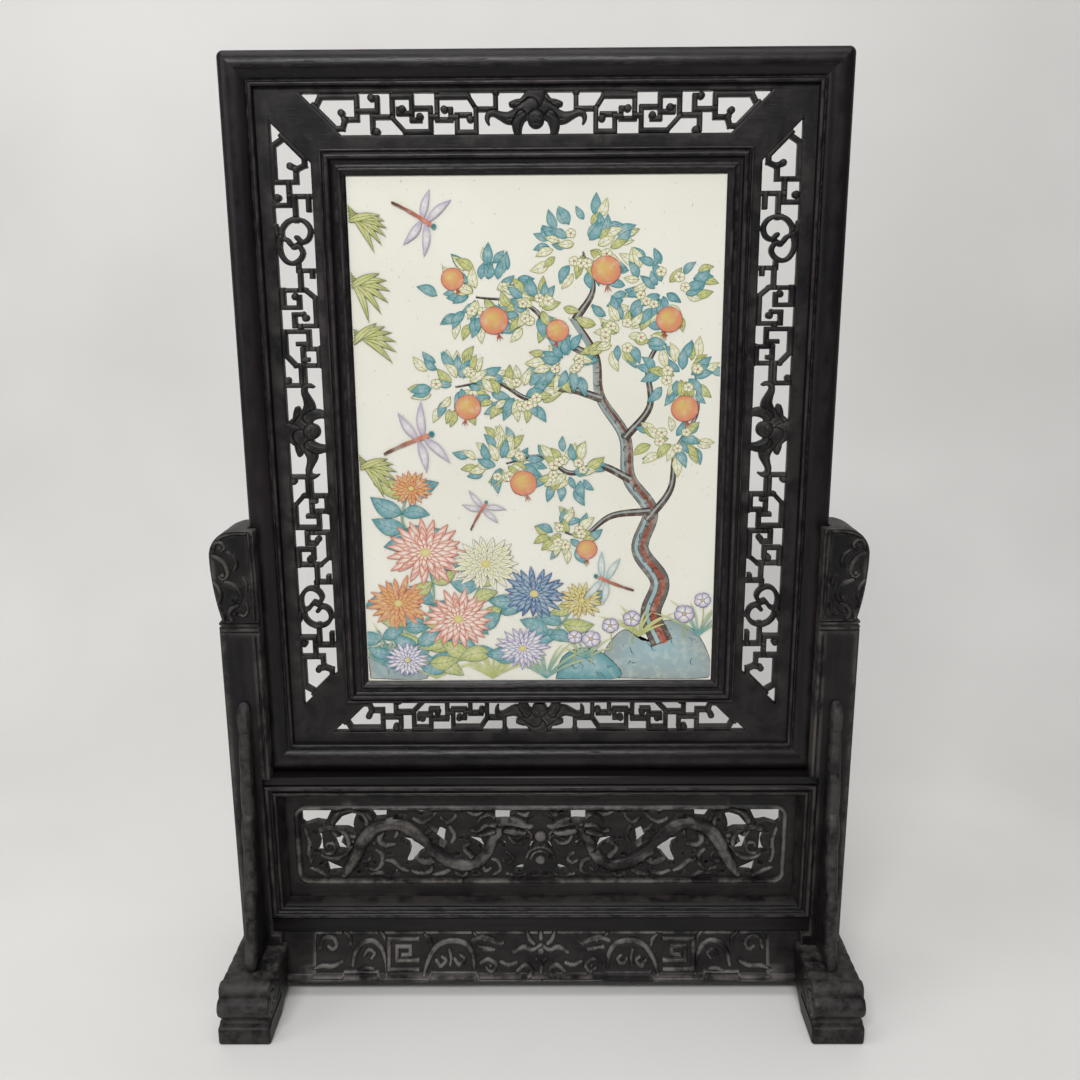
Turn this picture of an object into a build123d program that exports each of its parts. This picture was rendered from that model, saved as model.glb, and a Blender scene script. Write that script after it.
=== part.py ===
from build123d import *
import os

# A table screen: a porcelain plaque in a moulded frame with pierced fret boards,
# standing in grooves of two posts on a low stand. Millimetres, front faces -Y, +Z up.

# Frame of the screen
screen_w = 477.0
screen_h = 584.0
screen_t = 22.0
seat_z = 206.0
rail_w = 26.0
corner_r = 5.0
corner_dip = 1.9
rail_crown_x = 10.6
rail_edge_drop = 5.0
rail_bead_drop = 4.2
rail_tongue_t = 7.0
rail_tongue_h = 10.0
rail_tongue_end = 6.0

# Widths of the bands between the frame's rails and the moulding round the plaque
side_band = 47.0
top_band = 44.0
bottom_band = 39.0

# Porcelain plaque and its seat
porcelain_t = 6.0
plaque_front = -4.0
rebate = 3.0
plaque_gap = 0.4
back_board_t = 4.0
back_bead_t = 3.0
back_bead_w = 7.0

# Moulding round the plaque
moulding_w = 19.5
moulding_front = -10.0
moulding_step = 2.5

# Fret boards
fret_t = 8.0
fret_front = -4.5
tongue = 4.0
bar_w = 3.7
fret_h = 30.0
top_rim = 4.0
side_rim = 10.0
bottom_rim = 9.5
short_corner = 30.2
long_corner_high = 14.6
long_corner_low = 27.7
drawn_short_half = 178.0
drawn_long_half = 236.0
short_motif = 133.0
long_motif = 190.0

# Posts
post_w = 34.5
post_d = 48.0
post_above_seat = 220.0
post_round = 6.0
hold = 7.5
groove_gap = 0.4
head_h = 77.0
head_proud = 2.0
head_bulge = 4.0
collar_h = 9.0
collar_step = 1.2
ring_h = 2.4
post_tenon_w = 18.0
post_tenon_d = 28.0
post_tenon_h = 27.0

# Feet
foot_w = 44.0
foot_half_d = 92.0
foot_top = 48.0
plinth_h = 16.0
neck_top = 22.0
pad_d = 40.0
arch_h = 13.0

# Brackets between feet and posts
bracket_t = 10.5
bracket_top = 280.0
bracket_reach = 38.0
bracket_tongue = 4.0

# Waist: beaded frame with the pierced panel
waist_d = 42.0
waist_low = 72.0
seat_strip = 6.0
waist_w = 14.0
rail_low = 58.0
panel_t = 12.0
window_side = 11.0
window_above = 16.0
window_r = 6.0
window_rim_w = 3.5
window_rim_h = 1.2
drawn_window_w = 427.0
drawn_window_h = 68.0
rail_tenon = 14.0
rail_tenon_t = 10.0
bead_drop = 2.5
rail_ease = 3.0
back_ease = 3.0

# Aprons
apron_t = 9.0
apron_top_y = 16.0
apron_low_y = 28.0
apron_low_z = 15.0
lip_h = 5.0
lip_t = 3.0
apron_tenon = 6.0

# Places that follow from the sizes above
screen_half = screen_w / 2
screen_top = seat_z + screen_h
post_in = screen_half - hold
post_out = post_in + post_w
post_mid = (post_in + post_out) / 2
foot_in = post_mid - foot_w / 2
half_t = screen_t / 2
half_post_d = post_d / 2
half_waist_d = waist_d / 2
fret_back = fret_front + fret_t
post_top = seat_z + post_above_seat
head_low = post_top - head_h
frame_rect = (screen_half, seat_z, screen_top)
moulding_half = screen_half - rail_w - side_band
moulding_low = seat_z + rail_w + bottom_band
moulding_high = screen_top - rail_w - top_band
moulding_rect = (moulding_half, moulding_low, moulding_high)
sight_rect = (moulding_half - moulding_w, moulding_low + moulding_w, moulding_high - moulding_w)
waist_high = seat_z - seat_strip
waist_rect = (screen_half, waist_low, waist_high)
window_w = 2 * (screen_half - waist_w - window_side)
window_h = waist_high - waist_low - 2 * (waist_w + window_above)
window_mid_z = (waist_low + waist_high) / 2
short_half = screen_half - rail_w - top_rim * side_band / top_band - short_corner
long_low = seat_z + rail_w + side_rim * bottom_band / side_band + long_corner_low
long_high = screen_top - rail_w - side_rim * top_band / side_band - long_corner_high
long_half = (long_high - long_low) / 2
long_mid_z = (long_high + long_low) / 2
low_tenon_z = (rail_low + 3, rail_low + 15)
high_tenon_z = (seat_z - 16, seat_z - 4)
SIDES = ("top", "right", "bottom", "left")
INWARD = {"top": (0, 0, -1), "right": (-1, 0, 0), "bottom": (0, 0, 1), "left": (1, 0, 0)}


def shrink(rect, by):
    """The rectangle (half width, bottom, top) with every side moved inwards."""
    half, low, high = rect
    return half - by, low + by, high - by


def corners(rect):
    half, low, high = rect
    return [(-half, high), (half, high), (half, low), (-half, low)]


def ring_side(side, outer, inner):
    """One side of the ring between two rectangles, seen from the front, cut at the mitres."""
    i = SIDES.index(side)
    j = (i + 1) % 4
    a = corners(outer)
    b = corners(inner)
    return make_face(Polyline(a[i], a[j], b[j], b[i], close=True))


def rect_face(rect):
    return make_face(Polyline(*corners(rect), close=True))


def eased_rect(rect, r, dip):
    """The rectangle with corners eased by arcs a little fuller than a quarter round.

    Each arc ends r from the corner, and its middle lies dip from both edges.
    """
    half, low, high = rect
    return closed(
        Line((-half + r, high), (half - r, high)),
        ThreePointArc((half - r, high), (half - dip, high - dip), (half, high - r)),
        Line((half, high - r), (half, low + r)),
        ThreePointArc((half, low + r), (half - dip, low + dip), (half - r, low)),
        Line((half - r, low), (-half + r, low)),
        ThreePointArc((-half + r, low), (-half + dip, low + dip), (-half, low + r)),
        Line((-half, low + r), (-half, high - r)),
        ThreePointArc((-half, high - r), (-half + dip, high - dip), (-half + r, high)),
    )


def upright(face, front, back):
    """Thickness given to a shape drawn in X and Z."""
    return extrude(Plane.XZ.offset(-front) * face, amount=back - front, dir=(0, 1, 0))


def block(x0, x1, y0, y1, z0, z1):
    size = (x1 - x0, y1 - y0, z1 - z0)
    return Pos((x0 + x1) / 2, (y0 + y1) / 2, (z0 + z1) / 2) * Box(*size)


def closed(*pieces):
    """A face from lines and arcs that follow each other round its edge."""
    edges = []
    for piece in pieces:
        edges.extend(piece.edges())
    return make_face(edges)


def member(side, rect, section, width):
    """A moulded bar along one side of a rectangle, mitred at both ends.

    The section's x runs inwards from the rectangle's edge and its y is depth.
    """
    half, low, high = rect
    mid = (low + high) / 2
    starts = {"top": (0, 0, high), "right": (half, 0, mid), "bottom": (0, 0, low), "left": (-half, 0, mid)}
    inward = Vector(*INWARD[side])
    plane = Plane(origin=starts[side], x_dir=inward, z_dir=inward.cross(Vector(0, 1, 0)))
    length = 2 * half if side in ("top", "bottom") else high - low
    bar = extrude(plane * section, amount=length / 2, both=True)
    return (bar & upright(ring_side(side, rect, shrink(rect, width)), -post_d, post_d)).solid()


def bar_faces(points, width):
    """Flat bars along a run of points, joined by mitres."""
    pts = [Vector(*p) for p in points]
    ways = [(b - a).normalized() for a, b in zip(pts, pts[1:])]
    faces = []
    sides = []
    for k, p in enumerate(pts):
        before = ways[max(k - 1, 0)]
        after = ways[min(k, len(ways) - 1)]
        middle = (before + after).normalized()
        across = Vector(-middle.Y, middle.X)
        reach = width / 2 / max(0.6, middle.dot(after))
        push = Vector(0, 0)
        if k == 0:
            push = after * (-width / 2)
        if k == len(pts) - 1:
            push = before * (width / 2)
        sides.append((p + push + across * reach, p + push - across * reach))
    for (a, b), (c, d) in zip(sides, sides[1:]):
        faces.append(make_face(Polyline(a, c, d, b, close=True)))
    return faces


# Strokes of the fret, as (distance from the board's middle, depth from the opening's outer edge)
SHORT_STROKES = [
    [(167.5, 10.5), (163, 2.5), (135.6, 2.5), (135.6, 18.7), (145, 18.7)],
    [(168.5, 8.5), (152, 25), (147, 25), (145.2, 19.5), (147.5, 14)],
    [(135.6, 12.8), (120, 12.8), (120, 3.5), (124.5, 3.5)],
    [(108.7, 0), (108.7, 17), (124, 17), (124, 27.5), (121, 27.5)],
    [(108.7, 18), (99.5, 27.8), (79.8, 27.8), (79.8, 11), (94, 11), (94, 19.5), (88, 19.5), (88, 17)],
    [(108.7, 2.6), (94, 2.6), (94, 14.6), (104, 14.6), (104, 11.5), (101.2, 11.5)],
    [(74.8, 0), (74.8, 19.3), (64.5, 19.3), (64.5, 12), (69.5, 12)],
    [(79.8, 17), (74.8, 17)],
    [(74.8, 3), (51, 3), (45.2, 11.9), (30.4, 11.9), (30.4, 0)],
    [(45.4, 11.9), (45.4, 28.3), (59.8, 28.3), (59.8, 16), (50, 16), (50, 19)],
    [(64.5, 17.5), (59.8, 17.5)],
]
LONG_STROKES = [
    [(223.5, 8.5), (219, 1.5), (192.5, 1.5), (192.5, 18), (202, 18)],
    [(226, 8.5), (209.5, 25), (204.5, 25), (202, 19), (204, 14)],
    [(192, 12), (175.5, 12), (175.5, 1.2), (181, 1.2), (181, 3)],
    [(182, 12), (182, 30)],
    [(182, 16), (164, 16)],
    [(182, 26.5), (172, 26.5)],
    [(111.5, 0), (111.5, 20.5), (105.5, 27.7), (84, 27.7), (84, 10.5), (93, 10.5), (93, 17.5), (90, 19.5)],
    [(131, 16), (126.5, 16), (126.5, 30)],
    [(126.5, 17), (111.5, 17)],
    [(126.5, 26.5), (122, 26.5)],
    [(112, 2.5), (98.3, 2.5), (98.3, 15), (106.5, 15), (106.5, 12)],
    [(84, 15), (79.7, 15)],
    [(79.7, 0), (79.7, 21), (66, 21), (66, 30)],
    [(79.7, 2), (61, 2), (53, 9.5), (53, 31)],
    [(66, 15.7), (53, 15.7), (38.8, 15.7)],
    [(66, 20), (70, 20), (70, 12.5)],
    [(66, 28.3), (53, 28.3)],
    [(57.5, 15.7), (57.5, 19)],
    [(53, 13.5), (37.2, 13.5), (37.2, 2.2), (41, 2.2)],
]
# Outline of half a bat with its wing, on the same two axes
BAT_HALF = [
    (0, -1), (7.5, -1), (9, 5), (16.5, 5.8), (20, 8), (20, 10.5), (17.2, 12.2), (19.4, 15.6), (23.2, 16),
    (28.8, 13.6), (36.5, 13.2), (38.2, 16.3), (38.6, 21.6), (35.7, 24), (33.2, 20.6), (28.8, 21.4),
    (23.2, 26.4), (17.5, 28), (16.9, 31), (10, 31), (8.8, 27.5), (10.6, 22.2), (7, 19.3), (0, 19.3),
]
BAT_BODY = (0, 19.3, 6.6)


def arcs_through(points):
    """Arcs that follow each other through a run of points, each over two steps."""
    return [ThreePointArc(*points[k : k + 3]) for k in range(0, len(points) - 2, 2)]


def scroll_curve(points):
    """A round stroke: the band between two rows of arcs beside a run of points."""
    pts = [Vector(*p) for p in points]
    left = []
    right = []
    for k, p in enumerate(pts):
        way = (pts[min(k + 1, len(pts) - 1)] - pts[max(k - 1, 0)]).normalized()
        across = Vector(-way.Y, way.X) * (bar_w / 2)
        left.append(p + across)
        right.append(p - across)
    start = Line(right[0], left[0])
    end = Line(left[-1], right[-1])
    return closed(*arcs_through(left), end, *arcs_through(right[::-1]), start)


LONG_SCROLLS = [
    [(149.5, 8.5), (151.5, 4.8), (157.5, 4.8), (163, 9.3), (165, 16), (163, 23), (157, 26.8), (150.5, 25),
     (148, 20)],
    [(152, 3.6), (145.5, 2.2), (139, 3), (133.8, 6.5), (132, 11.5), (134.6, 17.2), (140, 20)],
]
LONG_LINKS = [
    [(148, 20), (151.5, 16)],
    [(140, 20), (145, 17), (144, 13)],
    [(140, 20), (147, 21)],
    [(165, 16), (165, 14)],
    [(132.5, 16), (130, 16)],
    [(151, 2.5), (160, 0)],
    [(156, 27), (156, 30)],
]


def fitted(points, extra, corner):
    """The drawing made longer by extra: spread as far as its corner motif, which only shifts."""
    return [(x + extra * min(x / corner, 1), y) for x, y in points]


def fret_pattern(strokes, curves, extra, corner):
    """Everything that stands in one opening, both halves, with the drawing fitted to its length."""
    half = []
    for stroke in strokes:
        half += bar_faces(fitted(stroke, extra, corner), bar_w)
    for curve in curves:
        half.append(scroll_curve(fitted(curve, extra, corner)))
    half.append(make_face(Polyline(*fitted(BAT_HALF, extra, corner), close=True)))
    x, y, r = BAT_BODY
    whole = half + [mirror(face, about=Plane.YZ) for face in half] + [Pos(x, y) * Circle(r)]
    return Sketch() + whole


def opening_face(half_length):
    """The opening in a fret board, as a trapezoid with ends parallel to the mitres."""
    inner = half_length - fret_h
    outer_points = [(-half_length, 0), (half_length, 0)]
    return make_face(Polyline(*outer_points, (inner, fret_h), (-inner, fret_h), close=True))


def fret_board(side):
    """A board whose pierced band lies a rim's width inside the frame's rail."""
    outer = shrink(frame_rect, rail_w - tongue)
    inner = shrink(moulding_rect, tongue)
    half, low, high = shrink(frame_rect, rail_w)
    short = side in ("top", "bottom")
    half_length = short_half if short else long_half
    pattern = short_pattern if short else long_pattern
    places = {
        "top": Location((0, high - top_rim, 0), (0, 0, 180)),
        "bottom": Location((0, low + bottom_rim, 0)),
        "left": Location((-half + side_rim, long_mid_z, 0), (0, 0, -90)),
        "right": Location((half - side_rim, long_mid_z, 0), (0, 0, 90)),
    }
    place = places[side]
    board = ring_side(side, outer, inner)
    holes = opening_face(half_length) - pattern
    return upright(board - place * holes, fret_front, fret_back)


def rail_section():
    """Crown, hollow and bead of the frame's rail, with the groove for the fret board."""
    edge = half_t - rail_edge_drop
    base = half_t - rail_bead_drop
    return closed(
        ThreePointArc((0, -edge), (rail_crown_x, -half_t), (20.5, -base)),
        Line((20.5, -base), (22, -base)),
        ThreePointArc((22, -base), (24, -base - 2), (rail_w, -base)),
        Polyline((rail_w, -base), (rail_w, fret_front), (rail_w - tongue, fret_front)),
        Line((rail_w - tongue, fret_front), (rail_w - tongue, fret_back)),
        Polyline((rail_w - tongue, fret_back), (rail_w, fret_back), (rail_w, base), (20.5, base)),
        ThreePointArc((20.5, base), (rail_crown_x, half_t), (0, edge)),
        Line((0, edge), (0, -edge)),
    )


def moulding_section():
    """Beads and hollow round the plaque, with the groove outside and the rebate behind."""
    lip = moulding_w - rebate - plaque_gap
    back = plaque_front + porcelain_t + back_board_t + back_bead_t
    face = plaque_front - moulding_step
    return closed(
        ThreePointArc((0, face), (1, face - 1.2), (2, face)),
        Line((2, face), (4, face)),
        ThreePointArc((4, face), (5.6, moulding_front), (7.6, moulding_front + 1.2)),
        ThreePointArc((7.6, moulding_front + 1.2), (10.4, face + 0.6), (13.5, face)),
        ThreePointArc((13.5, face), (15, face - 1.4), (16.5, face)),
        Polyline((16.5, face), (moulding_w, plaque_front - 1), (moulding_w, plaque_front)),
        Polyline((moulding_w, plaque_front), (lip, plaque_front), (lip, back), (0, back)),
        Polyline((0, back), (0, fret_back), (tongue, fret_back)),
        Polyline((tongue, fret_back), (tongue, fret_front), (0, fret_front), (0, face)),
    )


def frame_rail(side):
    """A side of the frame: top and bottom rails carry tongues, the stiles their slots."""
    half, low, high = frame_rect
    body = member(side, frame_rect, rail_section(), rail_w)
    body = body & upright(eased_rect(frame_rect, corner_r, corner_dip), -screen_t, screen_t)
    middles = {"top": high - rail_w / 2, "bottom": low + rail_w / 2}
    x_end = half - rail_tongue_end
    x_root = half - rail_w + rail_tongue_end
    y = rail_tongue_t / 2
    for end, z in middles.items():
        for x0, x1 in ((-x_end, -x_root), (x_root, x_end)):
            tongue_block = block(x0, x1, -y, y, z - rail_tongue_h / 2, z + rail_tongue_h / 2)
            if side in ("left", "right"):
                body = body - tongue_block
            elif side == end:
                body = body + tongue_block
    return body.solid()


def plaque():
    return upright(rect_face(shrink(sight_rect, -rebate)), plaque_front, plaque_front + porcelain_t)


def back_board():
    start = plaque_front + porcelain_t
    return upright(rect_face(shrink(sight_rect, -rebate)), start, start + back_board_t)


def back_bead(side):
    """Quarter-round bead that holds the plaque and its backing in the rebate."""
    rect = shrink(sight_rect, -rebate - plaque_gap)
    y = plaque_front + porcelain_t + back_board_t
    section = closed(
        Polyline((0, y + back_bead_t), (0, y), (back_bead_w, y)),
        ThreePointArc((back_bead_w, y), (back_bead_w * 0.7, y + back_bead_t * 0.75), (2.5, y + back_bead_t)),
        Line((2.5, y + back_bead_t), (0, y + back_bead_t)),
    )
    return member(side, rect, section, back_bead_w)


def rounded_plan(x0, x1, half_d, r):
    """Plan of a post: square towards the screen, rounded outside."""
    face = make_face(Polyline((x0, -half_d), (x1, -half_d), (x1, half_d), (x0, half_d), close=True))
    outer = [v for v in face.vertices() if v.X > (x0 + x1) / 2]
    return fillet(outer, r)


def post_right():
    """Post with a bulged head, a ridged collar and the grooves for screen and waist."""
    neck = head_low - collar_h
    shaft = extrude(rounded_plan(post_in, post_out, half_post_d, post_round), amount=neck - foot_top)
    shaft = Pos(0, 0, foot_top) * shaft
    wide = post_out + head_bulge
    outline = closed(
        Polyline((post_in, head_low), (post_in, post_top), (post_out - 16, post_top)),
        ThreePointArc((post_out - 16, post_top), (wide - 5.5, post_top - 7.5), (wide, post_top - 22)),
        ThreePointArc((wide, post_top - 22), (wide - 1.5, post_top - 48), (post_out - 3, head_low)),
        Line((post_out - 3, head_low), (post_in, head_low)),
    )
    head_d = half_post_d + head_proud
    head = upright(outline, -head_d, head_d)
    head = head & extrude(rounded_plan(post_in, wide, head_d, post_round + 2), amount=post_top)
    core = rounded_plan(post_in, post_out - collar_step, half_post_d - collar_step, post_round)
    ring = rounded_plan(post_in, post_out, half_post_d, post_round)
    body = shaft + head + Pos(0, 0, neck) * extrude(core, amount=head_low - neck)
    for z in (neck + collar_step, head_low - collar_step - ring_h):
        body = body + Pos(0, 0, z) * extrude(ring, amount=ring_h)
    tenon_x = post_tenon_w / 2
    tenon_y = post_tenon_d / 2
    tenon = block(
        post_mid - tenon_x, post_mid + tenon_x, -tenon_y, tenon_y, foot_top - post_tenon_h, foot_top
    )
    groove_y = half_t + groove_gap
    groove = block(post_in - 1, screen_half + groove_gap, -groove_y, groove_y, seat_z, post_top + 1)
    notch = block(post_in - 1, screen_half, -post_d, post_d, rail_low, seat_z)
    body = body + tenon - groove - notch
    for low, high in (low_tenon_z, high_tenon_z):
        body = body - rail_tenon_block(1, low, high)
    for front in (-1, 1):
        body = body - bracket(front)
    return body.solid()


def rail_tenon_block(sign, low, high):
    x0, x1 = sorted((sign * screen_half, sign * (screen_half + rail_tenon)))
    return block(x0, x1, -rail_tenon_t / 2, rail_tenon_t / 2, low, high)


def foot_profile(front):
    """Half of a foot seen from the side, from its middle to one toe."""
    d = foot_half_d
    pad_in = d - pad_d
    half = closed(
        ThreePointArc((0, arch_h), (pad_in * 0.62, arch_h * 0.78), (pad_in, 0)),
        Polyline((pad_in, 0), (d - 1, 0), (d, 1), (d, plinth_h - 2), (d - 2, plinth_h)),
        Polyline((d - 2, plinth_h), (d - 7, plinth_h + 0.5), (d - 7, neck_top)),
        ThreePointArc((d - 7, neck_top), (d, neck_top + 8), (d - 5.5, neck_top + 18.5)),
        Line((d - 5.5, neck_top + 18.5), (d - 8, neck_top + 18)),
        ThreePointArc((d - 8, neck_top + 18), (d - 10, foot_top - 1), (d - 19, foot_top + 1.5)),
        ThreePointArc((d - 19, foot_top + 1.5), (d - 24, foot_top + 1), (d - 29, foot_top)),
        Polyline((d - 29, foot_top), (0, foot_top), (0, arch_h)),
    )
    return half if front > 0 else mirror(half, about=Plane.YZ)


def foot_right():
    """Foot with rolled toes on a plinth, arched between two pads, mortised for post and aprons."""
    side = Plane(origin=(foot_in, 0, 0), x_dir=(0, 1, 0), z_dir=(1, 0, 0))
    body = None
    for front in (-1, 1):
        half = extrude(side * foot_profile(front), amount=foot_w)
        body = half if body is None else body + half
    mortise_x = post_tenon_w / 2
    mortise_y = post_tenon_d / 2
    mortise = block(
        post_mid - mortise_x, post_mid + mortise_x, -mortise_y, mortise_y, foot_top - post_tenon_h, foot_top
    )
    body = body - mortise
    for front in (-1, 1):
        body = body - apron_tenon_block(1, front)
    return body.solid()


def bracket(front):
    """Scalloped bracket standing on the right foot against the post's front or back."""
    y0 = half_post_d - bracket_tongue
    y1 = half_post_d
    top = bracket_top
    out = half_post_d + bracket_reach
    pts = [
        ((y1 + 5.5, top - 4), (y1 + 9.5, top - 14)),
        ((y1 + 9, top - 22), (y1 + 6, top - 27)),
        ((y1 + 10, top - 42), (y1 + 11.5, top - 62)),
        ((y1 + 15, top - 82), (y1 + 14, top - 98)),
        ((y1 + 20.5, top - 112), (y1 + 18.5, top - 128)),
        ((y1 + 22, top - 148), (y1 + 24, top - 165)),
        ((y1 + 31.5, top - 176), (y1 + 28.5, top - 190)),
        ((y1 + 33, top - 204), (out - 3, top - 216)),
        ((out, top - 224), (out, foot_top)),
    ]
    here = (y1 + 1, top)
    pieces = [Polyline((y0, top - 12), (y1, top - 6), here)]
    for through, end in pts:
        pieces.append(ThreePointArc(here, through, end))
        here = end
    pieces.append(Polyline(here, (y0, foot_top), (y0, top - 12)))
    outline = closed(*pieces)
    side = Plane(origin=(post_mid - bracket_t / 2, 0, 0), x_dir=(0, 1, 0), z_dir=(1, 0, 0))
    solid = extrude(side * outline, amount=bracket_t)
    return solid if front > 0 else mirror(solid, about=Plane.XZ)


def waist_section():
    """Two beads in front, a plain back with an eased edge and a groove for the panel."""
    d = half_waist_d
    flat = d - bead_drop
    deep = waist_w - tongue
    half_panel = panel_t / 2
    return closed(
        ThreePointArc((0, -flat), (2.6, -d), (5.2, -flat)),
        Line((5.2, -flat), (6.6, -d + 3.5)),
        ThreePointArc((6.6, -d + 3.5), (8.6, -d + 1.6), (10.6, -d + 4.5)),
        Polyline((10.6, -d + 4.5), (waist_w, -d + 9), (waist_w, -half_panel), (deep, -half_panel)),
        Polyline((deep, -half_panel), (deep, half_panel), (waist_w, half_panel)),
        Polyline((waist_w, half_panel), (waist_w, flat - back_ease), (waist_w - back_ease, flat)),
        Polyline((waist_w - back_ease, flat), (0, flat), (0, -flat)),
    )


def waist_rail(side):
    """Top or bottom of the waist's frame with its plain part and its tenons in the posts."""
    body = member(side, waist_rect, waist_section(), waist_w)
    y = half_waist_d - bead_drop
    if side == "top":
        plain = block(-screen_half, screen_half, -y, y, waist_high, seat_z)
        outer_edges = plain.edges().filter_by(Axis.X).group_by(Axis.Z)[-1]
        tenon_z = high_tenon_z
    else:
        plain = block(-screen_half, screen_half, -y, y, rail_low, waist_low)
        outer_edges = plain.edges().filter_by(Axis.X).group_by(Axis.Z)[0]
        tenon_z = low_tenon_z
    body = body + fillet(outer_edges, rail_ease)
    for sign in (-1, 1):
        body = body + rail_tenon_block(sign, *tenon_z)
    return body.solid()


# Holes of the pierced panel's left half, as (distance from the middle, height above the window's middle)
PANEL_HOLES = [
    [(212, 33), (184.5, 33), (191, 19.5), (195, 20), (199, 21), (203.5, 19.5), (209, 17.5), (212, 20)],
    [(184, 16), (175, 26.5), (166, 29.5), (158, 29), (155, 22.5), (158, 20), (161.5, 26.5), (164.8, 24),
     (166, 17.5), (162.5, 10.5), (168, 11.8), (172, 13.5), (183.5, 13.5)],
    [(152, 33), (135.5, 33), (137, 24), (146, 23.2)],
    [(203, 10.5), (200.5, 12.6), (194.5, 9.5), (193.8, -4.5), (191, -9.5), (201.5, -9.5), (203, -7),
     (197, -4.5), (196.3, 0.5), (198.5, 8.6)],
    [(175, 8), (181, 7), (183.3, 1.5), (180.5, -7.8), (172, -8.8), (167.5, -3), (173.5, -2.8), (177.5, 1.4),
     (175.2, 5.4)],
    [(200, -22), (196, -17.8), (190, -17.8), (184, -21), (175, -25.2), (175, -28.5), (188.5, -29.5),
     (190, -31), (191.5, -23), (195.3, -21)],
    [(131, 25), (125.5, 29), (117.5, 28.4), (118.5, 25)],
    [(139, 9.6), (135.5, 9.6), (132.5, 5.6), (137.8, 5.6)],
    [(152.5, -3.6), (148, 0.6), (145.8, -2), (149.5, -4.6)],
    [(140.6, -5.2), (131.8, -7.8), (125.2, -10.2), (127.4, -12), (137, -11.2)],
    [(123.6, 5.6), (115.5, 4.8), (108, 1.4), (103, -2.6), (102.5, -8), (108, -11), (115.5, -21), (120, -21.8),
     (119.3, -16), (115.5, -7.8), (117, -2), (123.6, 2.2)],
    [(151, -18.4), (145.8, -17.6), (147.3, -21)],
    [(109, 32), (91, 31.6), (100, 28), (107.5, 27.2)],
    [(80, 32.4), (67.5, 31.6), (69.5, 29.4), (80, 29.8)],
    [(97, 4.4), (91, 0.6), (84, -4.4), (76, -9.2), (71, -9.6), (71.5, -12), (77.5, -12.4), (86, -8), (94, -2),
     (99, 3)],
    [(89, 16), (84, 13.6), (85.4, 5.6), (82, -0.8), (86.5, -1), (94, 5.4)],
    [(67.5, 7.2), (53, 4.8), (49.5, -3.2), (43.8, -9), (48, -9), (55, -2.6), (64, 2.8), (74.5, 4.6)],
    [(40, 32), (17, 31.4), (27.5, 27.2), (24, 20.8), (31, 21.6), (40, 21)],
    [(8.6, 27.2), (0.6, 29.2), (0.6, 26.4), (6, 24.8), (12.4, 20.4), (14, 21.6)],
    [(38.5, 2.8), (35, 3.4), (31, 1), (30, -3.4), (32, -4), (34.4, -0.6), (38.8, 0)],
    [(7.6, 1.6), (1, 2.6), (1, 0), (6, -1.4), (9.6, -7.6), (11, -5)],
    [(24.4, -24), (16, -21), (13.2, -25.6), (17.6, -28.6), (23.6, -27.8)],
    [(10, -30.4), (3, -28.2), (1, -31.4), (8, -32.6)],
    [(133.4, -29.4), (129, -26.4), (124.6, -30), (121.4, -31.6), (132.6, -31.6)],
    [(64.6, -27.4), (55, -26.8), (51.8, -30.4), (62, -31.4)],
    [(165.5, -27.6), (160, -26.4), (158.6, -29.6), (164, -30.2)],
]


def waist_panel():
    """Board pierced between two facing dragons, with a raised rim round its window."""
    board = upright(rect_face(shrink(waist_rect, waist_w - tongue)), -panel_t / 2, panel_t / 2)
    place = Pos(0, window_mid_z)
    w = window_rim_w
    rim_outer = RectangleRounded(window_w + 2 * w, window_h + 2 * w, window_r + w)
    rim = place * (rim_outer - RectangleRounded(window_w, window_h, window_r))
    board = board + upright(rim, -panel_t / 2 - window_rim_h, -panel_t / 2)
    cutters = []
    for points in PANEL_HOLES:
        fitted = [(x * window_w / drawn_window_w, y * window_h / drawn_window_h) for x, y in points]
        hole = make_face(Polyline(*fitted, close=True))
        cutters.append(upright(place * hole, -panel_t, panel_t))
        cutters.append(upright(place * mirror(hole, about=Plane.YZ), -panel_t, panel_t))
    return (board - cutters).solid()


def apron_tenon_block(sign, front):
    x0, x1 = sorted((sign * foot_in, sign * (foot_in + apron_tenon)))
    y0, y1 = sorted((front * (apron_top_y - 2), front * (apron_top_y + 4)))
    return block(x0, x1, y0, y1, apron_low_z + 8, foot_top - 8)


def apron(front):
    """Board leaning outwards under the waist, tenoned between the feet."""
    y_top = apron_top_y
    y_low = apron_low_y
    lean = (y_low - y_top) / (rail_low - apron_low_z)
    y_lip = y_low - lean * lip_h
    z_lip = apron_low_z + lip_h
    face_points = [(y_top - apron_t, rail_low), (y_top, rail_low), (y_lip, z_lip)]
    lip_points = [(y_lip + lip_t, z_lip - 1.5), (y_low + lip_t, apron_low_z), (y_low - apron_t, apron_low_z)]
    section = make_face(Polyline(*face_points, *lip_points, close=True))
    plane = Plane(origin=(-post_in, 0, 0), x_dir=(0, 1, 0), z_dir=(1, 0, 0))
    body = extrude(plane * section, amount=2 * post_in)
    for sign in (-1, 1):
        x0, x1 = sorted((sign * foot_in, sign * (post_in + 1)))
        body = body - block(x0, x1, -foot_half_d, foot_half_d, 0, foot_top)
        body = body + apron_tenon_block(sign, 1)
    body = body.solid()
    return body if front > 0 else mirror(body, about=Plane.XZ)


def left(solid):
    return mirror(solid, about=Plane.YZ)


short_pattern = fret_pattern(SHORT_STROKES, [], short_half - drawn_short_half, short_motif)
long_pattern = fret_pattern(
    LONG_STROKES + LONG_LINKS, LONG_SCROLLS, long_half - drawn_long_half, long_motif
)

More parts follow.
